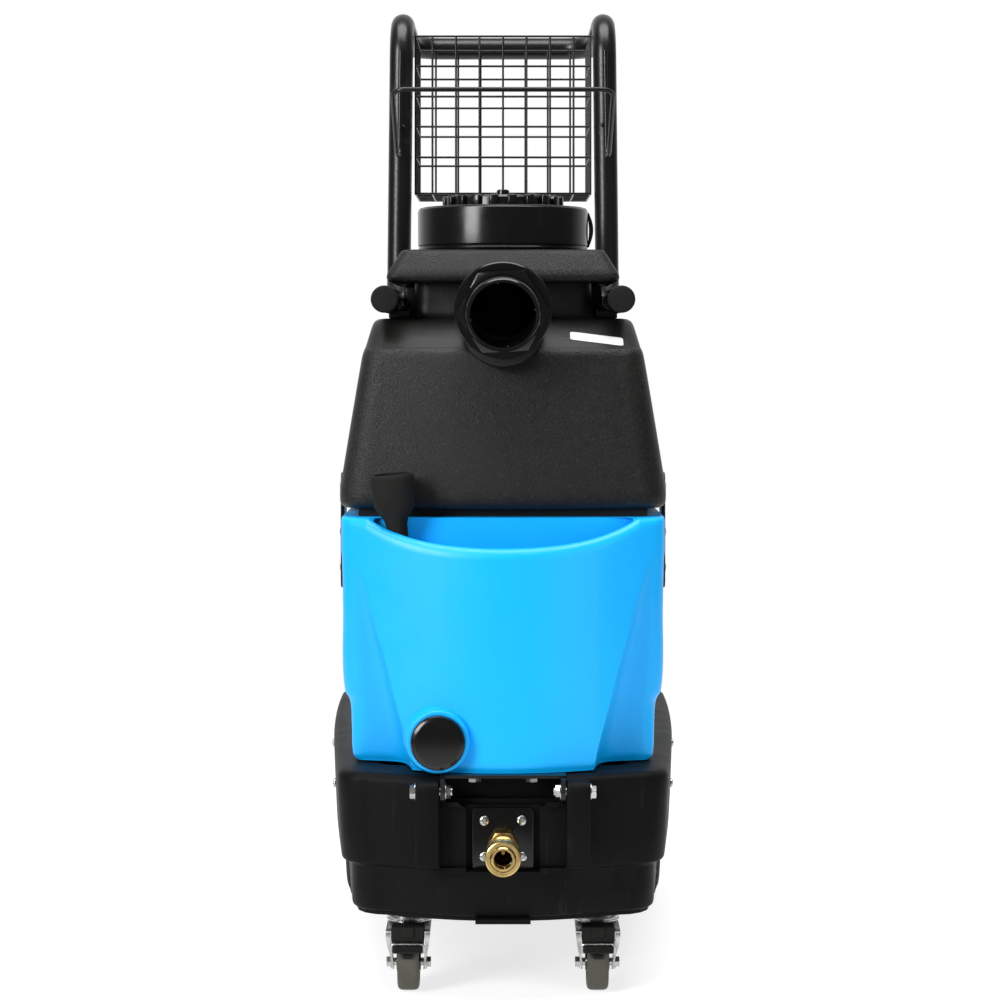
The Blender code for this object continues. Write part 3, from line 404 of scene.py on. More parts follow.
class Finish(Enum):
    """Every finish on the machine."""

    # PEBBLED and COVER carry painted glint specks on their grain
    PEBBLED = Moulded("pebbled_shell", (0.0046, 0.0047, 0.0042), (0.0068, 0.0069, 0.0062), 0.42, 1050.0, 0.00055, 0.3,
                      glint_specks=0.55, smooth_above=0.595)
    TUB = Moulded("satin_tub", (0.003, 0.003, 0.0029), (0.0044, 0.0044, 0.0042), 0.5, 1400.0, 0.00014, 0.08)
    COVER = Moulded("pebbled_cover", (0.0046, 0.0044, 0.0048), (0.007, 0.0068, 0.0073), 0.44, 1050.0, 0.00045, 0.24,
                    glint_specks=0.45)
    BLUE = Moulded("blue_polyethylene", (0.0004, 0.402, 0.96), (0.0006, 0.42, 0.98), 0.4, 900.0, 0.00005, 0.42,
                   scuffs=0.1)
    GLOSS = Moulded("smooth_black", (0.0026, 0.0026, 0.0028), (0.004, 0.004, 0.0043), 0.22, 300.0, 0.00003, 0.38,
                    0.1)
    RING = Moulded("satin_ring", (0.0026, 0.0026, 0.0025), (0.0036, 0.0036, 0.0035), 0.2, 260.0, 0.00002, 0.33)
    WHITE = Moulded("white_plastic", (0.7, 0.7, 0.68), (0.6, 0.6, 0.57), 0.45, 500.0, 0.00005, 0.5)
    LABEL = Moulded("label_film", (0.86, 0.86, 0.85), (0.8, 0.8, 0.79), 0.35, 900.0, 0.00001, 0.5, scuffs=0.2)
    AMBER = Moulded("amber_lens", (0.55, 0.12, 0.01), (0.62, 0.16, 0.02), 0.18, 400.0, 0.00002, 0.6, 0.4)
    COAT = PowderCoat("powder_coat", (0.0045, 0.0045, 0.0045), 0.3, 0.4)
    ZINC = Metal("zinc_plate", (0.5, 0.51, 0.5), (0.36, 0.36, 0.34), 0.24)
    STEEL = Metal("drawn_steel", (0.55, 0.55, 0.55), (0.38, 0.37, 0.35), 0.33)
    BRASS = Metal("turned_brass", (0.58, 0.42, 0.17), (0.36, 0.24, 0.08), 0.24, (1.0, 0.1, 1.0))
    CASTING = Metal("cast_casing", (0.42, 0.43, 0.44), (0.3, 0.3, 0.31), 0.48, (1.0, 1.0, 1.0), 0.00012)
    RUBBER = Rubber("black_rubber", (0.007, 0.007, 0.0064), (0.014, 0.014, 0.013), specular=0.2)
    TREAD = Rubber("grey_tread", (0.06, 0.058, 0.046), (0.095, 0.09, 0.072), 0.66, 500.0)
    TYRE = Rubber("tyre_rubber", (0.0125, 0.0125, 0.012), (0.035, 0.034, 0.031), 0.82, 700.0)
    FOAM = Rubber("closed_cell_foam", (0.01, 0.01, 0.01), (0.016, 0.016, 0.016), 0.92, 1400.0)

    def material(self) -> bpy.types.Material:
        """The finish's material, made when it is first asked for."""
        return bpy.data.materials.get(self.value.name) or self.value.build()


def dress(node: str, finish: Finish) -> None:
    """Gives a CAD node that stays in view its finish."""
    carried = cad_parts[node]
    if not carried.material_slots:
        carried.data.materials.append(None)
    for held in carried.material_slots:
        held.material = finish.material()
    LOG.info("%s dressed in %s", node, finish.value.name)


# --- shapes
def corner(
    x: float, depth: float, radius: float, first: float, count: int, sweep: float = QUARTER
) -> list[tuple[float, float]]:
    """A turn of a plan outline, a quarter unless told.

    Args:
        x: the turn's centre across.
        depth: the turn's centre back from the front plane.
        radius: its radius.
        first: the angle where it starts, 0 facing the front.
        count: chords.
        sweep: how far it turns.

    Returns:
        The (x, depth) points.
    """
    angles = [first + sweep * k / count for k in range(count + 1)]
    return [(x + radius * math.sin(a), depth - radius * math.cos(a)) for a in angles]


def arch(x: float, depth: float, z: float, radius: float, count: int) -> list[Vector]:
    """Half a circle over a point, from its front to its back."""
    angles = [math.pi * (1 - k / count) for k in range(count + 1)]
    return [at(x, depth + radius * math.cos(a), z + radius * math.sin(a)) for a in angles]


def spokes(count: int, reach: float, first: float = 0.0) -> list[Vector]:
    """Offsets to places spread evenly round an axis that runs back, from the first angle."""
    angles = [FULL_TURN * k / count + first for k in range(count)]
    return [Vector((math.cos(a), 0, math.sin(a))) * reach for a in angles]


def mirrored(line: Outline) -> list[tuple[float, float]]:
    """A turned outline's points, then their mirror images about its middle."""
    return [*line, *((radius, -height) for radius, height in reversed(line))]


def both_sides(right: Points) -> list[Vector]:
    """A line's right half, then the same on the left."""
    return [*right, *(Vector((-p.x, p.y, p.z)) for p in reversed(right))]


def facing(place: Vector, along: Vector) -> Matrix:
    """The matrix that stands an upright shape at a place, along a direction."""
    return Matrix.Translation(place) @ along.to_track_quat("Z", "Y").to_matrix().to_4x4()


def whole_ring(half: Outline, z: float) -> list[Vector]:
    """A level ring from its right half, which runs from the front middle to the rear middle."""
    left = [(-x, depth) for x, depth in reversed(half) if x > 1e-9]
    return [at(x, depth, z) for x, depth in [*half, *left]]


@dataclass(frozen=True)
class Plan:
    """A rounded plan outline: convex front, sides that widen to the rear, flat rear."""

    front: float
    rear: float
    half_front: float
    half_rear: float
    bulge: float = 0.0
    radius: float = 0.03
    rear_radius: float = 0.03

    def ring(self, z: float) -> list[Vector]:
        """The outline's points at one height."""
        reach = self.half_front - self.radius
        start = self.front + self.bulge * (reach / self.half_front) ** 2
        half = [
            (reach * i / 20, self.front + self.bulge * (reach * i / 20 / self.half_front) ** 2) for i in range(20)
        ]
        half += corner(reach, start + self.radius, self.radius, 0.0, 9)
        side_start, side_end = start + self.radius, self.rear - self.rear_radius
        for i in range(1, 12):
            share = i / 12
            widened = self.half_front + (self.half_rear - self.half_front) * math.sin(math.pi / 2 * share)
            half.append((widened, side_start + (side_end - side_start) * share))
        inner = self.half_rear - self.rear_radius
        half += corner(inner, side_end, self.rear_radius, math.pi / 2, 8)
        half += [(inner * (1 - i / 6), self.rear) for i in range(1, 7)]
        return whole_ring(half, z)


def bent(corners: Points, radius: float, steps: int = 10) -> list[Vector]:
    """A tube's centre line with each inner corner bent.

    Args:
        corners: the line's corners.
        radius: the bend radius.
        steps: chords to each bend.

    Returns:
        The points of the line.
    """
    path = [corners[0]]
    for before, here, after in zip(corners, corners[1:], corners[2:]):
        back, ahead = (before - here).normalized(), (after - here).normalized()
        half_angle = back.angle(ahead) / 2
        reach = radius / math.tan(half_angle)
        centre = here + (back + ahead).normalized() * radius / math.sin(half_angle)
        start, end = here + back * reach - centre, here + ahead * reach - centre
        axis, sweep = start.cross(end), start.angle(end)
        path += [centre + Matrix.Rotation(sweep * k / steps, 3, axis) @ start for k in range(steps + 1)]
    return [*path, corners[-1]]


class Form:
    """A mesh under construction, shaped by bmesh operators."""

    def __init__(self) -> None:
        """Starts empty."""
        self.bm = bmesh.new()

    @classmethod
    def box(
        cls, low: Sequence[float], high: Sequence[float], rounding: float = 0.0, segments: int = 3
    ) -> "Form":
        """A box between two corners, with its edges rounded."""
        form = cls()
        low, high = Vector(low), Vector(high)
        bmesh.ops.create_cube(form.bm, size=1.0)
        bmesh.ops.scale(form.bm, vec=high - low, verts=form.bm.verts)
        bmesh.ops.translate(form.bm, vec=(low + high) / 2, verts=form.bm.verts)
        return form.rounded(rounding, segments=segments) if rounding else form

    @classmethod
    def block(cls, x: Sequence[float], depth: Sequence[float], z: Sequence[float], rounding: float = 0.0) -> "Form":
        """A box from (low, high) pairs across, back and up, with its edges rounded."""
        return cls.box(at(x[0], depth[0], z[0]), at(x[1], depth[1], z[1]), rounding)

    @classmethod
    def rod(
        cls, start: Vector, end: Vector, radius: float, end_radius: float | None = None, sides: int = 40,
        turn: float = 0.0, rounding: float = 0.0,
    ) -> "Form":
        """A cylinder, cone or prism between two points.

        Args:
            start: the middle of the first end.
            end: the middle of the other end.
            radius: the radius at the start.
            end_radius: the radius at the end, if it differs.
            sides: the number of sides.
            turn: a roll about its own axis.
            rounding: the radius of its end edges.

        Returns:
            The form.
        """
        form = cls()
        along = end - start
        second = radius if end_radius is None else end_radius
        bmesh.ops.create_cone(
            form.bm, cap_ends=True, segments=sides, radius1=radius, radius2=second, depth=along.length
        )
        if rounding:
            rims = [e for e in form.bm.edges if abs(e.verts[0].co.z - e.verts[1].co.z) < SAME]
            form.rounded(rounding, rims)
        return form.moved(facing((start + end) / 2, along) @ Matrix.Rotation(turn, 4, "Z"))

    @classmethod
    def turned(
        cls, outline: Outline, place: Vector, along: Vector, steps: int = 64, closed: bool = False
    ) -> "Form":
        """A turned shape.

        Args:
            outline: (radius, height along the axis) points.
            place: where height 0 is.
            along: the axis.
            steps: facets to the turn.
            closed: whether the outline joins up, as on a ring.

        Returns:
            The form.
        """
        form = cls()
        verts = [form.bm.verts.new((radius, 0.0, height)) for radius, height in outline]
        ends = [*verts[1:], verts[0]] if closed else verts[1:]
        edges = [form.bm.edges.new(pair) for pair in zip(verts, ends)]
        bmesh.ops.spin(
            form.bm, geom=verts + edges, cent=(0, 0, 0), axis=(0, 0, 1), angle=FULL_TURN, steps=steps, use_merge=True
        )
        bmesh.ops.remove_doubles(form.bm, verts=form.bm.verts, dist=SAME)
        return form.moved(facing(place, along))

    @classmethod
    def ball(cls, place: Vector, radius: float, flat: Vector | None = None) -> "Form":
        """A ball, or a dome squeezed by a scale for each axis."""
        form = cls()
        bmesh.ops.create_uvsphere(form.bm, u_segments=24, v_segments=14, radius=radius)
        bmesh.ops.scale(form.bm, vec=flat or Vector((1, 1, 1)), verts=form.bm.verts)
        bmesh.ops.translate(form.bm, vec=place, verts=form.bm.verts)
        return form

    @classmethod
    def loft(cls, rings: Sequence[Points], capped: bool = True, joined: bool = False) -> "Form":
        """A skin through rings of equal point counts.

        Args:
            rings: the rings in order.
            capped: whether the first and last ring are filled.
            joined: whether the last ring meets the first, as round a torus.

        Returns:
            The form.
        """
        form = cls()
        loops = []
        for ring in rings:
            verts = [form.bm.verts.new(point) for point in ring]
            loops.append([form.bm.edges.new((a, b)) for a, b in zip(verts, [*verts[1:], verts[0]])])
        pairs = list(zip(loops, loops[1:]))
        if joined:
            pairs.append((loops[-1], loops[0]))
        for lower, upper in pairs:
            bmesh.ops.bridge_loops(form.bm, edges=lower + upper)
        if capped and not joined:
            for loop in (loops[0], loops[-1]):
                bmesh.ops.edgeloop_fill(form.bm, edges=loop)
        return form

    @classmethod
    def tube(cls, path: Points, radius: float, resolution: int = 6) -> "Form":
        """A round bar, wire or tube along a path."""
        curve = bpy.data.curves.new("tube", "CURVE")
        curve.dimensions = "3D"
        curve.bevel_depth = radius
        curve.bevel_resolution = resolution
        curve.use_fill_caps = True
        spline = curve.splines.new("POLY")
        spline.points.add(len(path) - 1)
        for point, place in zip(spline.points, path):
            point.co = (*place, 1.0)
        holder = bpy.data.objects.new("tube", curve)
        form = cls()
        form.bm.from_mesh(holder.to_mesh())
        bmesh.ops.remove_doubles(form.bm, verts=form.bm.verts, dist=SAME)
        bpy.data.objects.remove(holder)
        return form

    @classmethod
    def prism(cls, outline: Points, along: Vector) -> "Form":
        """A flat outline pushed along a vector."""
        form = cls()
        face = form.bm.faces.new([form.bm.verts.new(point) for point in outline])
        pushed = bmesh.ops.extrude_face_region(form.bm, geom=[face])
        moved = [v for v in pushed["geom"] if isinstance(v, bmesh.types.BMVert)]
        bmesh.ops.translate(form.bm, vec=along, verts=moved)
        form.bm.normal_update()
        return form

    def rounded(self, width: float, edges: Iterable[bmesh.types.BMEdge] | None = None, segments: int = 3) -> "Form":
        """Bevels the given edges, or all of them."""
        bmesh.ops.bevel(
            self.bm, geom=list(self.bm.edges if edges is None else edges), offset=width, offset_type="OFFSET",
            affect="EDGES", segments=segments, profile=0.5, material=-1, clamp_overlap=True,
        )
        return self

    def edges_along(self, axis: int) -> list[bmesh.types.BMEdge]:
        """A box's edges that run along axis 0, 1 or 2."""
        return [e for e in self.bm.edges if abs(e.verts[0].co[axis] - e.verts[1].co[axis]) > 1e-4]

    def moved(self, matrix: Matrix) -> "Form":
        """Applies a matrix."""
        bmesh.ops.transform(self.bm, matrix=matrix, verts=self.bm.verts)
        return self

    def turned_about(self, pivot: Vector, axis: str, angle: float) -> "Form":
        """Turns the form about a line through the pivot along one axis."""
        shift = Matrix.Translation(pivot)
        return self.moved(shift @ Matrix.Rotation(angle, 4, axis) @ shift.inverted())

    def with_(self, *others: "Form") -> "Form":
        """Adds other forms as separate shells of this one."""
        for other in others:
            mesh = other.mesh("added")
            self.bm.from_mesh(mesh)
            bpy.data.meshes.remove(mesh)
        return self

    def mesh(self, name: str) -> bpy.types.Mesh:
        """The form as a mesh with its faces outward. The form is used up."""
        bmesh.ops.recalc_face_normals(self.bm, faces=self.bm.faces)
        mesh = bpy.data.meshes.new(name)
        self.bm.to_mesh(mesh)
        self.bm.free()
        return mesh

    def combined(self, *tools: "Form", operation: str = "DIFFERENCE") -> "Form":
        """Cuts the tools out of the form, or joins them to it.

        Args:
            tools: closed forms.
            operation: DIFFERENCE or UNION.

        Returns:
            The form, with the result as its mesh.
        """
        body = bpy.data.objects.new("body", self.mesh("body"))
        helpers = [bpy.data.objects.new("tool", tool.mesh("tool")) for tool in tools]
        for helper in (body, *helpers):
            bpy.context.scene.collection.objects.link(helper)
        for helper in helpers:
            modifier = body.modifiers.new("cut", "BOOLEAN")
            modifier.operation = operation
            modifier.object = helper
        graph = bpy.context.evaluated_depsgraph_get()
        graph.update()
        self.bm = bmesh.new()
        self.bm.from_mesh(bpy.data.meshes.new_from_object(body.evaluated_get(graph)))
        bmesh.ops.remove_doubles(self.bm, verts=self.bm.verts, dist=0.000005)
        for helper in (body, *helpers):
            bpy.data.objects.remove(helper)
        return self

    def softened(self, width: float, angle: float = 45.0, segments: int = 2) -> "Form":
        """Bevels every edge sharper than an angle."""
        bmesh.ops.recalc_face_normals(self.bm, faces=self.bm.faces)
        limit = math.radians(angle)
        sharp = [e for e in self.bm.edges if e.is_manifold and e.calc_face_angle(0.0) > limit]
        return self.rounded(width, sharp, segments)

    def piece(
        self, name: str, finish: Finish, body: str, slot: str, replaces: Iterable[str] = (), angle: float = 32.0
    ) -> bpy.types.Object:
        """Finishes the form as a piece of the machine.

        Args:
            name: the piece's name.
            finish: its surface.
            body: the CAD body that it rides on.
            slot: the record's material slot; not used.
            replaces: the CAD nodes that it stands for.
            angle: edges sharper than this many degrees stay crisp.

        Returns:
            The new object.
        """
        mesh = self.mesh(name)
        mesh.shade_smooth()
        mesh.set_sharp_from_angle(angle=math.radians(angle))
        mesh.materials.append(finish.material())
        made = bpy.data.objects.new(name, mesh)
        bpy.context.scene.collection.objects.link(made)
        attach(made, body)
        if replaces:
            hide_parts(*replaces)
        LOG.info("%s: %d faces on %s", name, len(mesh.polygons), body)
        return made


# --- fasteners
def hex_head(place: Vector, out: Vector, across: float = 0.0127, high: float = 0.0045, turn: float = 0.0) -> Form:
    """A hexagon bolt head with a chamfered face and a washer under it.

    Args:
        place: the middle of the seat.
        out: the direction that the head faces.
        across: the distance over its corners.
        high: the head's height.
        turn: a roll about its axis.

    Returns:
        The form.
    """
    out = out.normalized()
    washer = Form.turned(
        [(0.0, 0.0009), (across * 0.6, 0.0009), (across * 0.62, 0.0006), (across * 0.62, 0.0), (0.0, 0.0)],
        place, out, 32,
    )
    head = Form.rod(place + out * 0.0008, place + out * high, across / 2, sides=6, turn=turn)
    cone = Form.turned(
        [(0.0, high + 0.0001), (across * 0.43, high + 0.0001), (across * 0.53, high - 0.0007),
         (across * 0.53, 0.0004), (0.0, 0.0004)], place, out, 48,
    )
    return head.combined(cone, operation="INTERSECT").with_(washer)


def pan_screw(place: Vector, out: Vector, radius: float = 0.0046, turn: float = 0.0) -> Form:
    """A pan head screw with a cross recess."""
    out = out.normalized()
    high = radius * 0.55
    dome = [(0.0, high)]
    dome += [(radius * math.sin(a), high * (0.35 + 0.65 * math.cos(a))) for a in (0.35, 0.7, 1.0, 1.25, 1.45)]
    dome += [(radius, high * 0.25), (radius, 0.0), (0.0, 0.0)]
    head = Form.turned(dome, place, out, 32)
    arms = []
    for quarter in (0.0, QUARTER):
        long, wide = radius * 0.575, radius * 0.13
        arm = Form.box((-long, -wide, high * 0.3), (long, wide, high * 1.7))
        arms.append(arm.moved(facing(place, out) @ Matrix.Rotation(quarter + turn, 4, "Z")))
    return head.combined(*arms)


def screw_set(
    name: str, body: str, screws: Iterable[tuple[Vector, Vector, float, float]], finish: Finish = Finish.ZINC,
    slot: str = "zinc",
) -> None:
    """Makes one piece of several pan screws.

    Args:
        name: the piece's name.
        body: the CAD body that it rides on.
        screws: each screw's seat, outward direction, radius and turn.
        finish: the screws' surface.
        slot: the record's material slot.
    """
    Form().with_(*(pan_screw(*screw) for screw in screws)).piece(name, finish, body, slot)


# --- base
@dataclass
class BaseTub:
    """The black tub with its deck, wheel wells, hinge straps and hose plate."""

    skirt: float = 0.08
    step: float = 0.1225
    deck: float = 0.207
    rear: float = 0.56
    bulge: float = 0.04
    wall: float = 0.005
    strap: tuple[float, float] = (0.0575, 0.079)
    hinge: tuple[float, float] = (-0.0085, 0.194)
    well: tuple[float, float, float] = (0.131, 0.098, 0.445)
    levels: tuple[tuple[float, float, float, float], ...] = (
        (0.08, -0.0062, 0.1376, 0.1636),
        (0.0812, -0.0074, 0.139, 0.1652),
        (0.084, -0.008, 0.1399, 0.166),
        (0.1, -0.008, 0.1402, 0.1663),
        (0.1195, -0.008, 0.1405, 0.1666),
        (0.1212, -0.0086, 0.1418, 0.169),
        (0.1226, -0.0102, 0.1458, 0.1752),
        (0.1242, -0.0114, 0.1484, 0.178),
        (0.127, -0.012, 0.1497, 0.1795),
        (0.15, -0.012, 0.1511, 0.1805),
        (0.18, -0.012, 0.1527, 0.1814),
        (0.1985, -0.012, 0.1535, 0.1819),
        (0.202, -0.0115, 0.1531, 0.1814),
        (0.2045, -0.0101, 0.1517, 0.18),
        (0.2062, -0.008, 0.1496, 0.1779),
        (0.207, -0.005, 0.1466, 0.1749),
    )

    def rings(self, levels: Sequence[tuple[float, float, float, float]], inset: float = 0.0) -> list[list[Vector]]:
        """The tub's outline at (z, front, half width at the front, at the rear) levels."""
        return [
            Plan(front + inset, self.rear - inset, narrow - inset, wide - inset, self.bulge).ring(z)
            for z, front, narrow, wide in levels
        ]

    def recesses(self) -> list[Form]:
        """What is cut out of the front wall between the straps."""
        inner = self.strap[0] - 0.0004
        shallow = Form.block((-inner, inner), (-0.03, -0.004), (self.step + 0.002, 0.18))
        deep = Form.block((-inner, inner), (-0.031, 0.02), (0.1843, self.deck + 0.01))
        half = 0.0335
        shape = ((half, self.step - 0.0015), (half, 0.1775), (0.049, 0.1905), (0.049, 0.195))
        outline = [at(x, -0.03, z) for x, z in shape] + [at(-x, -0.03, z) for x, z in reversed(shape)]
        funnel = Form.prism(outline, BACK * 0.034)
        return [shallow, funnel, deep]

    def strap_form(self, sign: int) -> Form:
        """A vertical strap on the front wall, round-topped about the hinge bolt."""
        depth, z = self.hinge
        radius, foot = 0.0108, self.step + 0.004
        low, high = between(sign, *self.strap)
        feet = at(low, depth - radius, foot), at(low, depth + radius, foot)
        outline = [feet[0], *arch(low, depth, z, radius, 16), feet[1]]
        strap = Form.prism(outline, ACROSS * (high - low)).softened(0.0016, 60.0, 3)
        hole = Form.rod(at(low - 0.01, depth, z), at(high + 0.01, depth, z), 0.0043, sides=24)
        return strap.combined(hole)

    def well_forms(self, sign: int) -> tuple[Form, Form]:
        """A wheel well's block, and the space cut from it."""
        inner, radius, depth = self.well
        block = Form.block(
            between(sign, inner - 0.004, 0.16),
            (depth - radius - 0.004, depth + radius + 0.004),
            (self.skirt + 0.001, self.deck - 0.0035),
        )
        x, under = sign * inner, 0.06
        outline = [at(x, depth + radius, under), at(x, depth - radius, under)]
        outline += arch(x, depth, middle("rear_axle").z, radius, 32)
        return block, Form.prism(outline, ACROSS * sign * 0.08)

    def build(self) -> None:
        """Makes the tub and the plate behind the hose coupler."""
        cavity = ((0.07, -0.008, 0.1397, 0.166), (self.step + 0.004, -0.008, 0.1397, 0.166),
                  (self.step + 0.006, -0.012, 0.15, 0.18), (self.deck - 0.004, -0.012, 0.1535, 0.182))
        hole = Plan(0.055, 0.49, 0.118, 0.118, 0.0, 0.02, 0.02)
        tub = Form.loft(self.rings(self.levels))
        tub.combined(Form.loft(self.rings(cavity, self.wall)), Form.loft([hole.ring(0.19), hole.ring(0.22)]))
        backing = Form.block((-0.06, 0.06), (-0.008, 0.012), (self.step - 0.004, 0.18))
        upper = Form.block((-0.06, 0.06), (0.01, 0.028), (0.176, self.deck - 0.003))
        wells = [self.well_forms(sign) for _, sign in SIDES]
        tub.combined(backing, upper, *(block for block, _ in wells), operation="UNION")
        tub.combined(*self.recesses(), *(space for _, space in wells))
        window = Form.block((-0.066, 0.066), (self.rear - 0.02, self.rear + 0.01), (0.147, 0.183))
        axle = middle("rear_axle")
        bore = Form.rod(axle - ACROSS * 0.2, axle + ACROSS * 0.2, 0.0068, sides=24)
        tub.combined(window, bore)
        tub.piece("tub_shell", Finish.TUB, "base", "black_shell", ["base_housing"], 28)
        for side, sign in SIDES:
            self.strap_form(sign).piece(f"hinge_strap_{side}", Finish.TUB, "base", "black_shell")
        self.build_trim()

    def build_trim(self) -> None:
        """Makes the hose plate with its screws, and the screws in the sides."""
        half, z = 0.028, middle("hose_plate").z
        plate = Form.block((-half, half), (-0.001, 0.0037), (z - 0.0285, z + 0.0285))
        plate.rounded(0.004, plate.edges_along(1), 4)
        plate.softened(0.0009, 50.0, 2).piece("hose_plate_face", Finish.RING, "base", "black_shell", ["hose_plate"])
        spots = ((-0.017, 0.0168), (0.017, 0.0172), (-0.017, -0.016), (0.0176, -0.0158))
        screw_set("plate_screws", "base", (
            (at(x, -0.0012, z + up), -BACK, 0.0046, 0.5 + x * 40) for x, up in spots))
        screw_set("tub_side_screws", "base", (
            (at(sign * x, depth, 0.187), ACROSS * sign, 0.0042, depth)
            for _, sign in SIDES for depth, x in ((0.074, 0.1575), (0.3, 0.174))))


@dataclass
class HoseCoupler:
    """The brass quick connection: hexagon, body, sliding sleeve and its ring of balls."""

    bore: float = 0.0083
    steps: int = 64

    def build(self) -> None:
        """Makes the fixed body and the sleeve that slides back on it."""
        centre, out = face_middle("coupler_body", back=True), -BACK
        body_line = [(self.bore, 0.08), (0.0098, 0.08), (0.0108, 0.079), (0.0113, 0.0776), (0.0113, 0.024),
                     (0.01, 0.0215), (0.0, 0.0215), (0.0, 0.03), (0.006, 0.03), (0.0066, 0.044),
                     (self.bore, 0.046), (self.bore, 0.066), (self.bore + 0.0009, 0.0668),
                     (self.bore + 0.0009, 0.069), (self.bore, 0.0698)]
        body = Form.turned(body_line, centre, out, self.steps, closed=True)
        nut = Form.rod(centre, centre + out * 0.0255, 0.014, sides=6, turn=math.radians(30))
        cone = Form.turned([(0.0, 0.0258), (0.0118, 0.0258), (0.0142, 0.024), (0.0142, -0.0005), (0.0, -0.0005)],
                           centre, out, self.steps)
        nut.combined(cone, operation="INTERSECT")
        neck = Form.turned([(0.0, 0.03), (0.0104, 0.03), (0.0112, 0.0285), (0.0112, 0.024), (0.0, 0.024)],
                           centre, out, self.steps)
        stem = Form.rod(centre + out * 0.03, centre + out * 0.052, 0.0028, 0.0022, 24, rounding=0.0006)
        body.with_(nut, neck, stem).piece(
            "coupler_stem", Finish.BRASS, "base", "brass", ["coupler_body"], 30)
        balls = Form()
        for spoke in spokes(8, self.bore + 0.0002, 0.2):
            balls.with_(Form.ball(centre + out * 0.0735 + spoke, 0.0011))
        balls.piece("coupler_balls", Finish.STEEL, "base", "steel")
        self.build_sleeve(centre)

    def build_sleeve(self, centre: Vector) -> None:
        """Makes the ringed sleeve."""
        line = [(0.0116, 0.078), (0.0146, 0.078), (0.0156, 0.0774), (0.016, 0.0762), (0.016, 0.073),
                (0.0154, 0.072), (0.0143, 0.0714), (0.0143, 0.07), (0.015, 0.0692), (0.0156, 0.068),
                (0.0156, 0.065), (0.0148, 0.064)]
        for k in range(6):
            z = 0.0632 - 0.002 * k
            line += [(0.0143, z), (0.0148, z - 0.0006), (0.0148, z - 0.0012), (0.0143, z - 0.0017)]
        line += [(0.014, 0.05), (0.0136, 0.0484), (0.013, 0.048), (0.0116, 0.048)]
        Form.turned(line, centre, -BACK, self.steps, closed=True).piece(
            "coupler_collar", Finish.BRASS, "coupler_sleeve", "brass", ["coupler_sleeve"], 24)


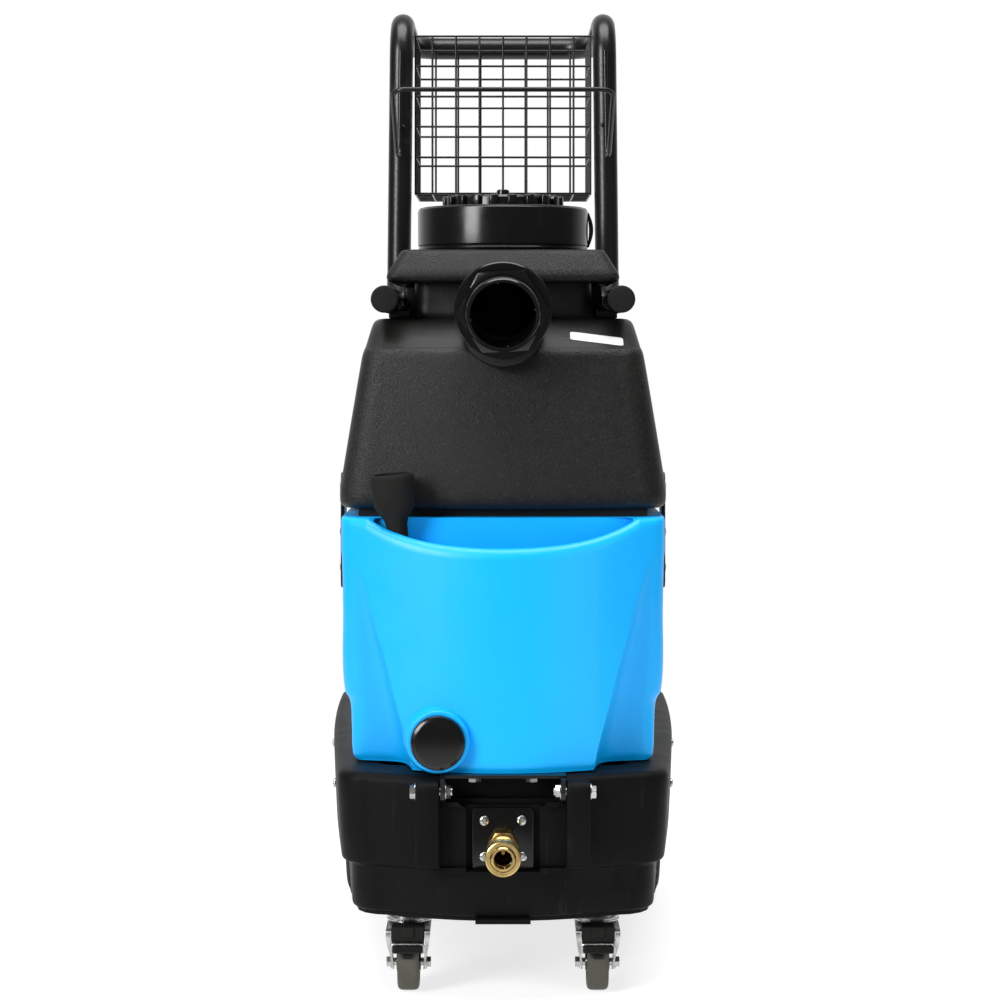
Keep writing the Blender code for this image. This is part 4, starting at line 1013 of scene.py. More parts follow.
# --- casters and wheels
@dataclass
class Caster:
    """One front swivel caster with a pressed fork, an elastic wheel and a brake."""

    side: str
    trail: float = 0.02
    radius: float = 0.0255
    half: float = 0.01

    def __post_init__(self) -> None:
        """Takes the swivel's place from the CAD plate."""
        plate = middle(f"caster_plate_{self.side}")
        self.x = plate.x
        self.depth = plate.y - FRONT
        self.body = f"caster_{self.side}"

    def near(self, x: float, ahead: float, z: float) -> Vector:
        """A point from the swivel's axis: across, ahead of it, and up."""
        return at(self.x + x, self.depth - ahead, z)

    def bar(self, half: float, ahead: tuple[float, float], z: tuple[float, float], rounding: float) -> Form:
        """A rounded block centred on the swivel's line, between two distances ahead of it."""
        return Form.block(
            (self.x - half, self.x + half), (self.depth - ahead[0], self.depth - ahead[1]), z, rounding)

    def build(self) -> None:
        """Makes the whole caster."""
        self.build_plate()
        self.build_fork()
        self.build_wheel()
        self.build_brake()

    def build_plate(self) -> None:
        """Makes the top plate with its four bolts and the fixed race."""
        low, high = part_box(f"caster_plate_{self.side}")
        plate = Form.block((low.x, high.x), (low.y - FRONT, high.y - FRONT), (high.z - 0.0025, high.z))
        plate.rounded(0.006, plate.edges_along(2), 5)
        line = [(0.0, 0.005), (0.021, 0.005), (0.0216, 0.004), (0.0213, 0.0016), (0.02, 0.0004), (0.0, 0.0004)]
        race = Form.turned(line, Vector((self.x, FRONT + self.depth, low.z)), UP, 56)
        hole = 0.0185
        bolts = [hex_head(self.near(x, ahead, high.z - 0.0026), -UP, 0.009, 0.0036)
                 for x in (-hole, hole) for ahead in (-hole, hole)]
        plate.with_(race, *bolts).piece(
            f"caster_top_{self.side}", Finish.ZINC, "base", "zinc", [f"caster_plate_{self.side}"], 30)

    def cheek(self, edge: int) -> Form:
        """One cheek of the fork, drawn in from the crown to the axle."""
        rows = (
            (0.0602, 0.0203, 0.044, -0.015, 0.0044), (0.058, 0.0205, 0.0462, -0.0145, 0.0044),
            (0.054, 0.0202, 0.0468, -0.012, 0.0042), (0.05, 0.0197, 0.0464, -0.0085, 0.0038),
            (0.0465, 0.0192, 0.044, -0.0055, 0.0034), (0.043, 0.0187, 0.039, -0.002, 0.003),
            (0.039, 0.0181, 0.0345, 0.002, 0.0026), (0.0345, 0.0172, 0.0316, 0.0066, 0.0022),
            (0.03, 0.0163, 0.0294, 0.0106, 0.0019), (0.0255, 0.0158, 0.0276, 0.0124, 0.0018),
            (0.0215, 0.0154, 0.0254, 0.0146, 0.0018), (0.019, 0.0152, 0.0226, 0.0174, 0.0018),
        )
        rings = []
        thick = 0.0017
        for z, x, ahead, behind, lip in rows:
            spots = ((x, ahead), (x, behind), (x - thick, behind), (x - thick, ahead - thick), (x - lip, ahead - thick),
                     (x - lip, ahead))
            rings.append([self.near(edge * across, reach, z) for across, reach in spots])
        return Form.loft(rings).softened(0.0004, 60.0, 1)

    def build_fork(self) -> None:
        """Makes the fork with its crown, cheeks, rims and axle bolt."""
        crown_line = [(0.0, 0.0688), (0.0175, 0.0688), (0.0196, 0.068), (0.0206, 0.066), (0.0209, 0.0625),
                      (0.0206, 0.06), (0.019, 0.059), (0.0, 0.059)]
        crown = Form.turned(crown_line, self.near(0, 0, 0), UP, 56)
        bead = Form.turned([(0.0207, 0.0635), (0.0214, 0.0628), (0.0214, 0.0616), (0.0207, 0.0609)],
                           self.near(0, 0, 0), UP, 56, closed=True)
        roof = self.bar(0.0205, (0.0462, -0.0145), (0.0582, 0.0604), 0.0008)
        fork = crown.with_(bead, roof, self.cheek(-1), self.cheek(1))
        seats = [self.near(edge * 0.016, self.trail, self.radius) for edge in (-1, 1)]
        for edge, seat in zip((-1, 1), seats):
            fork.with_(hex_head(seat, ACROSS * edge, 0.0105, 0.0046, 0.3 * edge))
        fork.with_(Form.rod(*seats, 0.0036, sides=20))
        fork.piece(f"caster_yoke_{self.side}", Finish.ZINC, self.body, "zinc", [f"caster_fork_{self.side}"], 34)

    def build_wheel(self) -> None:
        """Makes the round-shouldered tread on its dished hub."""
        axle = self.near(0, self.trail, self.radius)
        r, h = self.radius, self.half
        line = [(r - 0.0068, h - 0.0002), (r - 0.004, h), (r - 0.0018, h - 0.0007), (r - 0.0006, h - 0.0021),
                (r - 0.0001, h - 0.0042), (r, h - 0.007)]
        tread = [*mirrored(line), (r - 0.0075, -h + 0.001), (r - 0.0075, h - 0.001)]
        Form.turned(tread, axle, ACROSS, 72, closed=True).piece(
            f"caster_tread_{self.side}", Finish.TREAD, f"caster_wheel_{self.side}", "tread",
            [f"caster_wheel_{self.side}"], 40)
        hub = [(0.0044, h + 0.0012), (0.008, h + 0.0012), (0.0088, h - 0.0008), (0.01, h - 0.0042),
               (0.0152, h - 0.0042), (0.0165, h - 0.001), (r - 0.0076, h - 0.0008)]
        Form.turned(mirrored(hub), axle, ACROSS, 56, closed=True).piece(
            f"caster_hub_{self.side}", Finish.GLOSS, f"caster_wheel_{self.side}", "black_gloss", (), 30)

    def build_brake(self) -> None:
        """Makes the U-shaped pedal with its rubber pad, and the latch block and shoe in the fork."""
        body = f"brake_pedal_{self.side}"
        top, low, front = 0.0488, 0.0392, 0.05
        right = [self.near(0.0133, front, top), self.near(0.0148, front, top - 0.0015),
                 self.near(0.0148, front, low + 0.001)]
        left = [self.near(-0.0148, front, low + 0.001), self.near(-0.0148, front, top - 0.0015),
                self.near(-0.0133, front, top)]
        hoop = Form.tube(bent(left + right, 0.0018, 4), 0.0011, 3)
        plate = self.bar(0.015, (front + 0.0006, 0.0405), (top - 0.0008, top + 0.0008), 0.0005)
        pin = Form.rod(self.near(-0.015, 0.043, 0.05), self.near(0.015, 0.043, 0.05), 0.0018, sides=20)
        plate.with_(hoop, pin)
        plate.piece(f"pedal_hoop_{self.side}", Finish.ZINC, body, "steel", [f"brake_pedal_{self.side}"], 34)
        pad = self.bar(0.0136, (front + 0.0018, 0.047), (low + 0.0012, top - 0.0012), 0.0012)
        for k in range(4):
            z = low + 0.0028 + 0.0019 * k
            pad.with_(self.bar(0.0118, (front + 0.0026, front + 0.001), (z, z + 0.0008), 0.0003))
        pad.piece(f"pedal_pad_{self.side}", Finish.RUBBER, body, "rubber")
        housing = self.bar(0.0152, (0.0488, 0.031), (0.0505, 0.0645), 0.0014)
        latch = self.bar(0.0062, (0.0504, 0.047), (0.0545, 0.0646), 0.0012)
        shoe = self.bar(0.0046, (0.0464, 0.0446), (0.0345, 0.0382), 0.0005)
        housing.with_(latch, shoe).piece(f"brake_latch_{self.side}", Finish.RUBBER, self.body, "rubber")


@dataclass
class RearWheel:
    """A ribbed rear wheel with a spoked centre and a pressed cap."""

    side: str
    sign: int
    ribs: int = 44

    def build(self) -> None:
        """Makes the tyre, the centre and the axle cap."""
        body = f"rear_wheel_{self.side}"
        low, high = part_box(body)
        centre, half, radius = (low + high) / 2, (high.x - low.x) / 2, (high.z - low.z) / 2
        shoulder = [(radius - 0.024, half - 0.0012), (radius - 0.018, half), (radius - 0.009, half - 0.0006),
                    (radius - 0.0042, half - 0.0028), (radius - 0.0024, half - 0.0062), (radius - 0.0022, 0.0012),
                    (radius - 0.0034, 0.0008)]
        line = [*mirrored(shoulder), (radius - 0.025, -half + 0.003), (radius - 0.025, half - 0.003)]
        tyre = Form.turned(line, centre, ACROSS, 96, closed=True)
        for k in range(self.ribs):
            for edge in (-1, 1):
                turn = Matrix.Rotation(FULL_TURN * (k + 0.25 * edge) / self.ribs, 4, "X")
                rib = Form.box((-0.0045, -0.0031, radius - 0.003), (0.0045, 0.0031, radius - 0.0001), 0.0006, 1)
                tyre.with_(rib.moved(Matrix.Translation(centre + ACROSS * edge * 0.0068) @ turn))
        tyre.piece(f"rear_tyre_{self.side}", Finish.TYRE, body, "rubber", [body], 34)
        rim = radius - 0.0253
        web = [(0.0069, half), (0.0185, half), (0.02, half - 0.0012), (0.0212, half - 0.007),
               (rim - 0.007, half - 0.007), (rim - 0.005, half - 0.0024), (rim, half - 0.002)]
        disc = Form.turned(mirrored(web), centre, ACROSS, 80, closed=True)
        for k in range(6):
            turn = Matrix.Rotation(FULL_TURN * k / 6, 4, "X")
            for edge in (-1, 1):
                spoke = Form.box((-0.0022, -0.0028, 0.0195), (0.0022, 0.0028, rim - 0.0055), 0.0008, 2)
                disc.with_(spoke.moved(Matrix.Translation(centre + ACROSS * edge * (half - 0.0062)) @ turn))
        disc.piece(f"rear_hub_{self.side}", Finish.GLOSS, body, "black_gloss", (), 30)
        out = ACROSS * self.sign
        cap = Form.turned([(0.0, 0.0058), (0.005, 0.0054), (0.0084, 0.004), (0.01, 0.0014), (0.0104, 0.0004),
                           (0.0, 0.0004)], centre + out * half, out, 40)
        cap.piece(f"axle_cap_{self.side}", Finish.ZINC, "base", "zinc")


# --- solution tank
@dataclass
class SolutionTank:
    """The blue tank: a convex apron between receding cheeks, and a fill pocket with a swooping rim."""

    half_at: Outline = ((0.2085, 0.1378), (0.2105, 0.1402), (0.214, 0.1414), (0.24, 0.1428), (0.262, 0.1444),
                        (0.2665, 0.1462), (0.27, 0.1488), (0.276, 0.15), (0.305, 0.1514), (0.35, 0.1506),
                        (0.39, 0.151), (0.424, 0.1519), (0.433, 0.1514), (0.437, 0.1492))
    crease_at: Outline = ((0.2085, 0.0835), (0.23, 0.088), (0.252, 0.094), (0.269, 0.0988), (0.302, 0.1075),
                          (0.3385, 0.1185), (0.372, 0.129), (0.394, 0.136), (0.414, 0.143))
    step_at: Outline = ((0.2085, 0.044), (0.25, 0.04), (0.3, 0.029), (0.34, 0.0175), (0.375, 0.006),
                        (0.395, 0.0012), (0.41, 0.0))
    sag: float = 0.0186 / 0.083**2
    rear: float = 0.5
    lip: float = 0.0105
    top: float = 0.437
    bend: float = 0.4
    pocket: tuple[float, float, float] = (0.06, 0.335, 0.13)
    cap: Vector = field(default_factory=lambda: middle("drain_cap"))

    def rim(self, x: float) -> float:
        """The rim's height across the front."""
        return min(self.top, 0.4129 + 0.75 * x * x + 45.0 * x**4)

    def front(self, x: float, z: float) -> float:
        """The front wall's depth: the apron's curve, stepping back past the crease."""
        crease, step = ramp(z, self.crease_at), ramp(z, self.step_at)
        past = (x - crease) / (0.0055 + 0.2 * step)
        tuck = 0.0022 * (1 - ease((z - 0.2085) / 0.006))
        if past <= 0.0:
            return self.sag * x * x + tuck
        share = 1 - math.exp(-2.6 * past)
        flat = 0.7 * share * min(1.0, step / 0.012)
        return self.sag * (crease**2 + (x**2 - crease**2) * (1 - flat)) + step * share + tuck

    def outline(self, z: float) -> list[tuple[float, float]]:
        """The right half of the plan at one height, denser about the crease."""
        half = ramp(z, self.half_at)
        radius = ramp(z, ((0.2085, 0.01), (0.235, 0.015), (0.275, 0.022)))
        reach = half - radius
        crease = min(ramp(z, self.crease_at), reach - 0.01)
        turn, edge = 0.0, reach
        for _ in range(5):
            rise = self.front(edge + 0.0005, z) - self.front(edge - 0.0005, z)
            turn = math.atan2(rise, 0.001)
            edge = reach + radius * math.sin(turn)
        spots = [crease * i / 22 for i in range(22)]
        spots += [crease - 0.0014, crease - 0.0004, crease + 0.0006, crease + 0.0018]
        left = edge - (crease + 0.0018)
        spots += [crease + 0.0018 + left * (i / 14) ** 1.25 for i in range(1, 15)]
        line = [(x, self.front(x, z)) for x in spots]
        turned = line[-1][1] + radius * math.cos(turn)
        line += corner(reach, turned, radius, turn, 10, QUARTER - turn)[1:]
        rear_radius = 0.028
        inner, end = half - rear_radius, self.rear - rear_radius
        line += [(half, turned + (end - turned) * i / 12) for i in range(1, 12)]
        line += corner(inner, end, rear_radius, QUARTER, 8)
        return line + [(inner * (1 - i / 6), self.rear) for i in range(1, 7)]

    def shell_rings(self) -> list[list[Vector]]:
        """The outside, from the bottom's edge to the rounded rim."""
        heights = [0.2085, 0.2092, 0.2104, 0.2122, 0.2146, 0.218]
        heights += [0.218 + (0.26 - 0.218) * i / 9 for i in range(1, 10)]
        heights += [0.2622, 0.264, 0.2656, 0.2672, 0.269, 0.2712, 0.2745]
        heights += [0.2745 + (self.bend - 0.2745) * i / 26 for i in range(1, 27)]
        rings = [whole_ring(self.outline(z), z) for z in heights]
        rings += [self.rim_ring(share, 0.0, self.lip) for share in (0.12, 0.28, 0.45, 0.62, 0.8, 1.0)]
        for turn in (0.2, 0.42, 0.66, 0.86, 1.0):
            angle = turn * QUARTER
            inward = self.lip * 0.75 * (1 - math.cos(angle))
            rings.append(self.rim_ring(1.0, inward, self.lip * (1 - math.sin(angle))))
        return rings

    def rim_ring(self, share: float, inward: float, below: float) -> list[Vector]:
        """A ring above the bend, where the wall starts to follow the rim.

        Args:
            share: how far it has gone from the bend to the rim.
            inward: how far it lies inside the outer wall.
            below: how far it lies under the rim's top.

        Returns:
            The ring's points.
        """
        ring = []
        for point in whole_ring(self.outline(0.418), 0.0):
            depth = point.y - FRONT
            fore = 1 - ease((depth - 0.04) / 0.03)
            weight = 0.35 + 0.65 * fore
            goal = (self.rim(abs(point.x)) * fore + self.top * (1 - fore)) - below * weight
            pull = inward * weight
            out = Vector((point.x * 0.6, (depth - 0.25) * 1.4, 0)).normalized()
            point.z = self.bend + (goal - self.bend) * share
            ring.append(point - out * pull)
        return ring

    def pocket_rings(self, rim: list[Vector]) -> list[list[Vector]]:
        """The pocket's mouth, walls and floor, point for point under the rim's inner ring."""
        back, floor, half = self.pocket
        fore = [point.y - FRONT < back - 0.014 and abs(point.x) < half for point in rim]
        rear = [i for i, ahead in enumerate(fore) if not ahead]
        rings = []
        for z, narrow, inset in ((None, 1.0, 0.0), (None, 1.0, 0.0), (0.398, 0.985, 0.0005), (0.37, 0.93, 0.001),
                                 (0.352, 0.86, 0.002), (0.341, 0.8, 0.005), (floor, 0.76, 0.01)):
            ring = []
            for i, point in enumerate(rim):
                if fore[i]:
                    x = point.x * narrow
                    depth = self.sag * x * x + 0.0095 + inset
                    height = point.z - (0.005 if rings else 0.0012)
                else:
                    share = 1 - 2 * (rear.index(i) / (len(rear) - 1))
                    x, depth = share * half * narrow, back - inset
                    height = self.top - (0.0025 if rings else 0.0)
                ring.append(at(x, depth, height if z is None else z))
            rings.append(ring)
        return rings

    def build(self) -> None:
        """Makes the tank and the raised collar round its drain."""
        shell = self.shell_rings()
        tank = Form.loft([*shell, *self.pocket_rings(shell[-1])])
        centre = self.cap.copy()
        centre.y = FRONT - 0.004
        collar_line = [(0.0, 0.0002), (0.0268, 0.0002), (0.0276, 0.0), (0.0286, -0.0012), (0.0289, -0.0034),
                       (0.0291, -0.007), (0.03, -0.012), (0.0322, -0.017), (0.0322, -0.03), (0.0, -0.03)]
        collar = Form.turned(collar_line, centre, -BACK, 72)
        bore = Form.rod(centre - BACK * 0.01, centre + BACK * 0.05, 0.018, sides=48)
        tank.combined(collar, operation="UNION")
        tank.combined(bore)
        tank.piece("tank_blue", Finish.BLUE, "tanks", "blue_tank", ["solution_tank"], 40)


@dataclass
class DrainCap:
    """The black screw cap: a domed disc with a fine-ribbed edge."""

    ribs: int = 60

    def build(self) -> None:
        """Makes the cap with its plug."""
        centre = face_middle("drain_cap")
        line = [(0.0, 0.0007), (0.0198, 0.0006), (0.0214, 0.0002), (0.0224, -0.0004), (0.0238, -0.001),
                (0.0246, -0.0022), (0.0248, -0.0082), (0.0236, -0.0085), (0.0176, -0.0085), (0.0172, -0.02),
                (0.0, -0.02)]
        cap = Form.turned([(r, h - 0.0007) for r, h in line], centre, -BACK, 96)
        for spoke in spokes(self.ribs, 0.0245):
            start = centre + spoke + BACK * 0.0034
            cap.with_(Form.rod(start, start + BACK * 0.0054, 0.0006, sides=6))
        cap.piece("drain_cap_disc", Finish.GLOSS, "drain_cap", "black_gloss", ["drain_cap"], 30)


# --- recovery tank and cover
@dataclass
class RecoveryTank:
    """The black upper tank: a pebbled body, a smooth slanted shoulder, a neck and the inlet's boss."""

    levels: tuple[tuple[float, float, float, float, float], ...] = (
        (0.4445, 0.068, 0.493, 0.1488, 0.024),
        (0.4452, 0.0655, 0.4958, 0.1512, 0.026),
        (0.447, 0.063, 0.4982, 0.1532, 0.027),
        (0.45, 0.0615, 0.4998, 0.1545, 0.028),
        (0.456, 0.0612, 0.5, 0.1548, 0.028),
        (0.462, 0.0616, 0.5, 0.1547, 0.028),
        (0.49, 0.0662, 0.4978, 0.1504, 0.027),
        (0.525, 0.0718, 0.495, 0.1449, 0.026),
        (0.56, 0.0774, 0.4922, 0.1393, 0.025),
        (0.586, 0.0816, 0.4904, 0.135, 0.024),
        (0.5905, 0.0828, 0.4899, 0.134, 0.024),
        (0.5935, 0.0846, 0.4892, 0.1329, 0.024),
        (0.596, 0.0878, 0.4884, 0.1318, 0.024),
        (0.604, 0.0985, 0.4865, 0.1299, 0.024),
        (0.613, 0.1105, 0.4845, 0.1278, 0.024),
        (0.6185, 0.118, 0.4828, 0.1262, 0.024),
        (0.6215, 0.123, 0.4808, 0.1243, 0.024),
        (0.6232, 0.1275, 0.478, 0.1212, 0.023),
        (0.624, 0.134, 0.473, 0.116, 0.021),
    )
    neck_top: float = 0.6582
    bulge: float = 0.012
    wall: float = 0.005
    drain: tuple[float, float, float] = (0.075, 0.47, 0.016)
    throat: tuple[float, float] = (0.629, 0.0353)

    def build(self) -> None:
        """Makes the tank as one skin with its openings."""
        tank = Form.loft([
            Plan(front, rear, half, half, self.bulge, r, r).ring(z) for z, front, rear, half, r in self.levels])
        wall = self.wall
        inner = [(z + wall, front + wall, rear - wall, half - wall, r)
                 for z, front, rear, half, r in self.levels[3:16:3]]
        cavity = Form.loft([
            Plan(front, rear, half, half, self.bulge, r, r).ring(z - (0.008 if i else 0.0))
            for i, (z, front, rear, half, r) in enumerate(inner)])
        flare = ((0.61, 0.133, 0.0925), (0.6225, 0.1335, 0.092), (0.6262, 0.1372, 0.0885), (0.63, 0.1392, 0.0868),
                 (0.64, 0.14, 0.086), (self.neck_top, 0.14, 0.0858))
        neck = Form.loft([Plan(front, 0.352, half, half, 0.006, 0.016, 0.016).ring(z) for z, front, half in flare])
        gussets = [Form.block(between(sign, 0.078, 0.0985), (0.204, 0.321), (0.62, 0.6575), 0.003)
                   for _, sign in SIDES]
        line = [(0.0, 0.0), (0.037, 0.0), (0.0388, 0.0006), (0.0398, 0.002), (0.04, 0.0042), (0.0404, 0.095),
                (0.0, 0.095)]
        boss = Form.turned(line, at(0, 0.062, 0.6175), BACK, 72)
        tank.combined(neck, boss, *gussets, operation="UNION")
        clean_out = Form.rod(at(0, LID_DEPTH, 0.585), at(0, LID_DEPTH, 0.7), CLEAN_OUT, sides=72)
        x, z, radius = self.drain
        drain = Form.rod(at(x, 0.47, z), at(x, 0.53, z), radius, sides=40)
        z, radius = self.throat
        throat = Form.rod(at(0, 0.05, z), at(0, 0.19, z), radius, sides=56)
        tank.combined(cavity)
        tank.combined(clean_out, drain, throat)
        tank.piece("tank_black", Finish.PEBBLED, "tanks", "black_shell", ["recovery_tank"], 34)
        self.build_label()

    def shoulder(self, x: float, z: float) -> float:
        """The shoulder's depth at a place on the front."""
        for low, high in zip(self.levels, self.levels[1:]):
            if low[0] <= z <= high[0]:
                share = (z - low[0]) / (high[0] - low[0])
                front = low[1] + (high[1] - low[1]) * share
                half = low[3] + (high[3] - low[3]) * share
                return front + self.bulge * (x / half) ** 2
        return self.levels[-1][1]

    def build_label(self) -> None:
        """Makes the blank white label, which follows the shoulder."""
        rings = []
        for i in range(25):
            x = 0.064 + 0.0505 * i / 24
            trim = 0.0008 if i in (0, 24) else 0.0
            foot = 0.6036 - 0.0062 * i / 24 + trim
            head = foot + 0.0074 - 2 * trim
            edges = ((foot, 0.00005), (head, 0.00005), (head, 0.00035), (foot, 0.00035))
            rings.append([at(x, self.shoulder(x, z) - lift * 0.8, z + lift * 0.6) for z, lift in edges])
        Form.loft(rings).piece("shoulder_label", Finish.LABEL, "tanks", "white_plastic")


@dataclass
class TopCover:
    """The slab over the neck, its screw ring and the gripped cap."""

    lobes: int = 20
    rim: float = 0.7346

    def build(self) -> None:
        """Makes the slab, the ring, the cap and what hangs by it."""
        levels = (
            (0.6585, 0.1215, 0.3555, 0.1068), (0.6592, 0.1185, 0.3585, 0.1096), (0.6608, 0.1164, 0.3605, 0.1114),
            (0.6632, 0.1155, 0.3612, 0.1121), (0.6665, 0.116, 0.3608, 0.1116), (0.672, 0.1192, 0.3585, 0.1085),
            (0.679, 0.1235, 0.3556, 0.1044), (0.686, 0.1278, 0.3527, 0.1003), (0.6886, 0.1298, 0.3514, 0.0986),
            (0.69, 0.1318, 0.35, 0.0968), (0.6905, 0.1345, 0.348, 0.0942),
        )
        slab = Form.loft([
            Plan(front, rear, half, half, 0.003, 0.011, 0.011).ring(z) for z, front, rear, half in levels])
        lid = at(0, LID_DEPTH, 0)
        slab.combined(Form.rod(lid + UP * 0.64, lid + UP * 0.71, CLEAN_OUT, sides=72))
        slab.piece("cover_slab", Finish.COVER, "tanks", "black_shell", ["top_cover"], 34)
        low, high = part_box("lid_ring")
        radius, tall = (high.x - low.x) / 2, high.z - low.z
        line = [(radius - 0.0045, tall), (radius - 0.002, tall - 0.0008), (radius - 0.0005, tall - 0.0024),
                (radius, tall - 0.005), (radius - 0.0002, 0.0062), (radius - 0.001, 0.0052), (radius - 0.0012, 0.0038),
                (radius - 0.0004, 0.0028), (radius - 0.0006, 0.0012), (radius - 0.002, 0.0), (0.06, 0.0),
                (0.06, tall - 0.0015), (0.0615, tall), (0.069, tall), (0.07, tall - 0.0008), (0.074, tall - 0.0008),
                (0.075, tall)]
        Form.turned(line, Vector((0, lid.y, low.z)), UP, 128, closed=True).piece(
            "lid_collar", Finish.RING, "tanks", "black_shell", ["lid_ring"], 30)
        self.build_cap(lid)
        self.build_tether(lid)

    def build_cap(self, lid: Vector) -> None:
        """Makes the cap: a dished disc with deep finger grips, a knob and a vent dome."""
        centre = lid + UP * self.rim
        knob_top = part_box("lid_cap")[1].z - self.rim
        line = [(0.0, 0.007), (0.02, 0.007), (0.036, 0.0074), (0.042, 0.0096), (0.049, 0.0112), (0.053, 0.0108),
                (0.0552, 0.0088), (0.0556, 0.001), (0.0566, 0.0), (0.0584, -0.0004), (0.0584, -0.015), (0.0, -0.015)]
        disc = Form.turned(line, centre, UP, 96)
        for k in range(self.lobes):
            angle = FULL_TURN * (k + 0.5) / self.lobes
            grip = Form.box((-0.0046, -0.005, 0.0004), (0.0046, 0.005, 0.0113), 0.0018)
            spoke = Vector((math.sin(angle), -math.cos(angle), 0)) * 0.0556
            disc.with_(grip.moved(Matrix.Translation(centre + spoke) @ Matrix.Rotation(angle, 4, "Z")))
        for k in range(6):
            web = Form.box((-0.0012, 0.008, 0.006), (0.0012, 0.042, 0.0092), 0.0008)
            disc.with_(web.moved(Matrix.Translation(centre) @ Matrix.Rotation(FULL_TURN * k / 6, 4, "Z")))
        knob = Form.turned([(0.0, knob_top), (0.0046, knob_top), (0.006, knob_top - 0.0008),
                            (0.0064, knob_top - 0.0024), (0.0058, 0.0112), (0.0072, 0.0068), (0.0, 0.0068)],
                           centre, UP, 40)
        disc.with_(knob)
        disc.piece("lid_cap_grip", Finish.GLOSS, "lid_cap", "black_gloss", ["lid_cap"], 30)
        dome = Form.ball(centre + Vector((0.03, -0.004, 0.0072)), 0.0125, Vector((1.0, 0.55, 0.62)))
        dome.piece("lid_cap_vent", Finish.GLOSS, "lid_cap", "black_gloss")

    def build_tether(self, lid: Vector) -> None:
        """Makes the strap that hangs down the ring's right side."""
        rings = []
        for k in range(25):
            bow = math.sin(math.pi * k / 24)
            centre = lid + Vector((0.0848 + 0.0034 * bow, 0.002, 0.73 - 0.0345 * k / 24))
            thick, wide = 0.001 + 0.001 * bow, 0.0062
            rings.append([centre + Vector((x * thick, y * wide, 0)) for x, y in ((-1, -1), (1, -1), (1, 1), (-1, 1))])
        Form.loft(rings).softened(0.0006, 60.0, 2).piece("cap_strap", Finish.RUBBER, "tanks", "rubber")


@dataclass
class HoseInlet:
    """The hose inlet: a flange on the boss, a hexagon nut and a thin-rimmed mouth."""

    tilt: float = math.radians(9.0)
    pivot: Vector = field(default_factory=lambda: at(0, 0.062, 0.633))

    def build(self) -> None:
        """Makes the stub with its flange, and the nut."""
        start = self.pivot - BACK * 0.045
        line = [(0.0304, 0.0), (0.0328, 0.0), (0.0338, 0.001), (0.0344, 0.003), (0.0344, 0.022), (0.0352, 0.0226),
                (0.0352, 0.0238), (0.0344, 0.0244), (0.035, 0.03), (0.0445, 0.03), (0.0455, 0.031),
                (0.0458, 0.033), (0.0455, 0.0355), (0.0445, 0.0368), (0.04, 0.0372), (0.04, 0.045),
                (0.035, 0.045), (0.035, 0.062), (0.0304, 0.062), (0.0304, 0.03), (0.031, 0.006)]
        stub = Form.turned(line, start, BACK, 96, closed=True)
        for spoke in spokes(4, 0.03, 0.16):
            stub.with_(Form.ball(start + spoke + BACK * 0.0016, 0.0013))
        stub.turned_about(self.pivot, "X", self.tilt)
        stub.piece("inlet_stub", Finish.GLOSS, "tanks", "black_gloss", ["inlet_fitting"], 30)
        near, far = start + BACK * 0.018, start + BACK * 0.0299
        nut = Form.rod(near, far, 0.043, sides=6, turn=math.radians(27))
        line = [(0.0, 0.0), (0.0375, 0.0), (0.0432, 0.003), (0.0432, 0.013), (0.0, 0.013)]
        cone = Form.turned(line, near, BACK, 96)
        nut.combined(cone, operation="INTERSECT")
        nut.combined(Form.rod(near - BACK * 0.01, far + BACK * 0.01, 0.0346, sides=96))
        nut.turned_about(self.pivot, "X", self.tilt)
        nut.piece("inlet_hexagon", Finish.GLOSS, "tanks", "black_gloss", ["inlet_nut"], 30)


@dataclass
class FillFunnel:
    """The soft rubber funnel that stands in the pocket."""

    def build(self) -> None:
        """Makes the bell and neck as one hollow turned skin, pinched a little out of round."""
        foot, top = at(-0.089, 0.0485, 0.339), at(-0.1035, 0.0425, 0.479)
        high = (top - foot).length
        outer = [(0.0142, high), (0.0156, high - 0.0006), (0.0166, high - 0.0024), (0.0168, high - 0.006),
                 (0.0163, high - 0.016), (0.0158, high - 0.025), (0.015, high - 0.031), (0.0128, high - 0.037),
                 (0.0106, high - 0.042), (0.0099, high - 0.048), (0.0097, high - 0.07), (0.0095, 0.0008),
                 (0.0088, 0.0)]
        inner = [(0.007, 0.0), (0.007, high - 0.044), (0.009, high - 0.038), (0.013, high - 0.029),
                 (0.0136, high - 0.004)]
        bell = Form.turned([*outer, *inner], foot, top - foot, 56, closed=True)
        for vert in bell.bm.verts:
            share = (vert.co.z - foot.z) / (top.z - foot.z)
            axis_x = foot.x + (top.x - foot.x) * share
            wave = math.sin(vert.co.z * 95.0 + vert.co.x * 60.0) * 0.00035
            vert.co.x = axis_x + (vert.co.x - axis_x) * (1 + 0.22 * ease((vert.co.z - 0.428) / 0.02)) + wave
            vert.co.y += wave * 0.6
        bell.piece("fill_bell", Finish.RUBBER, "tanks", "rubber", ["filler_funnel"], 40)


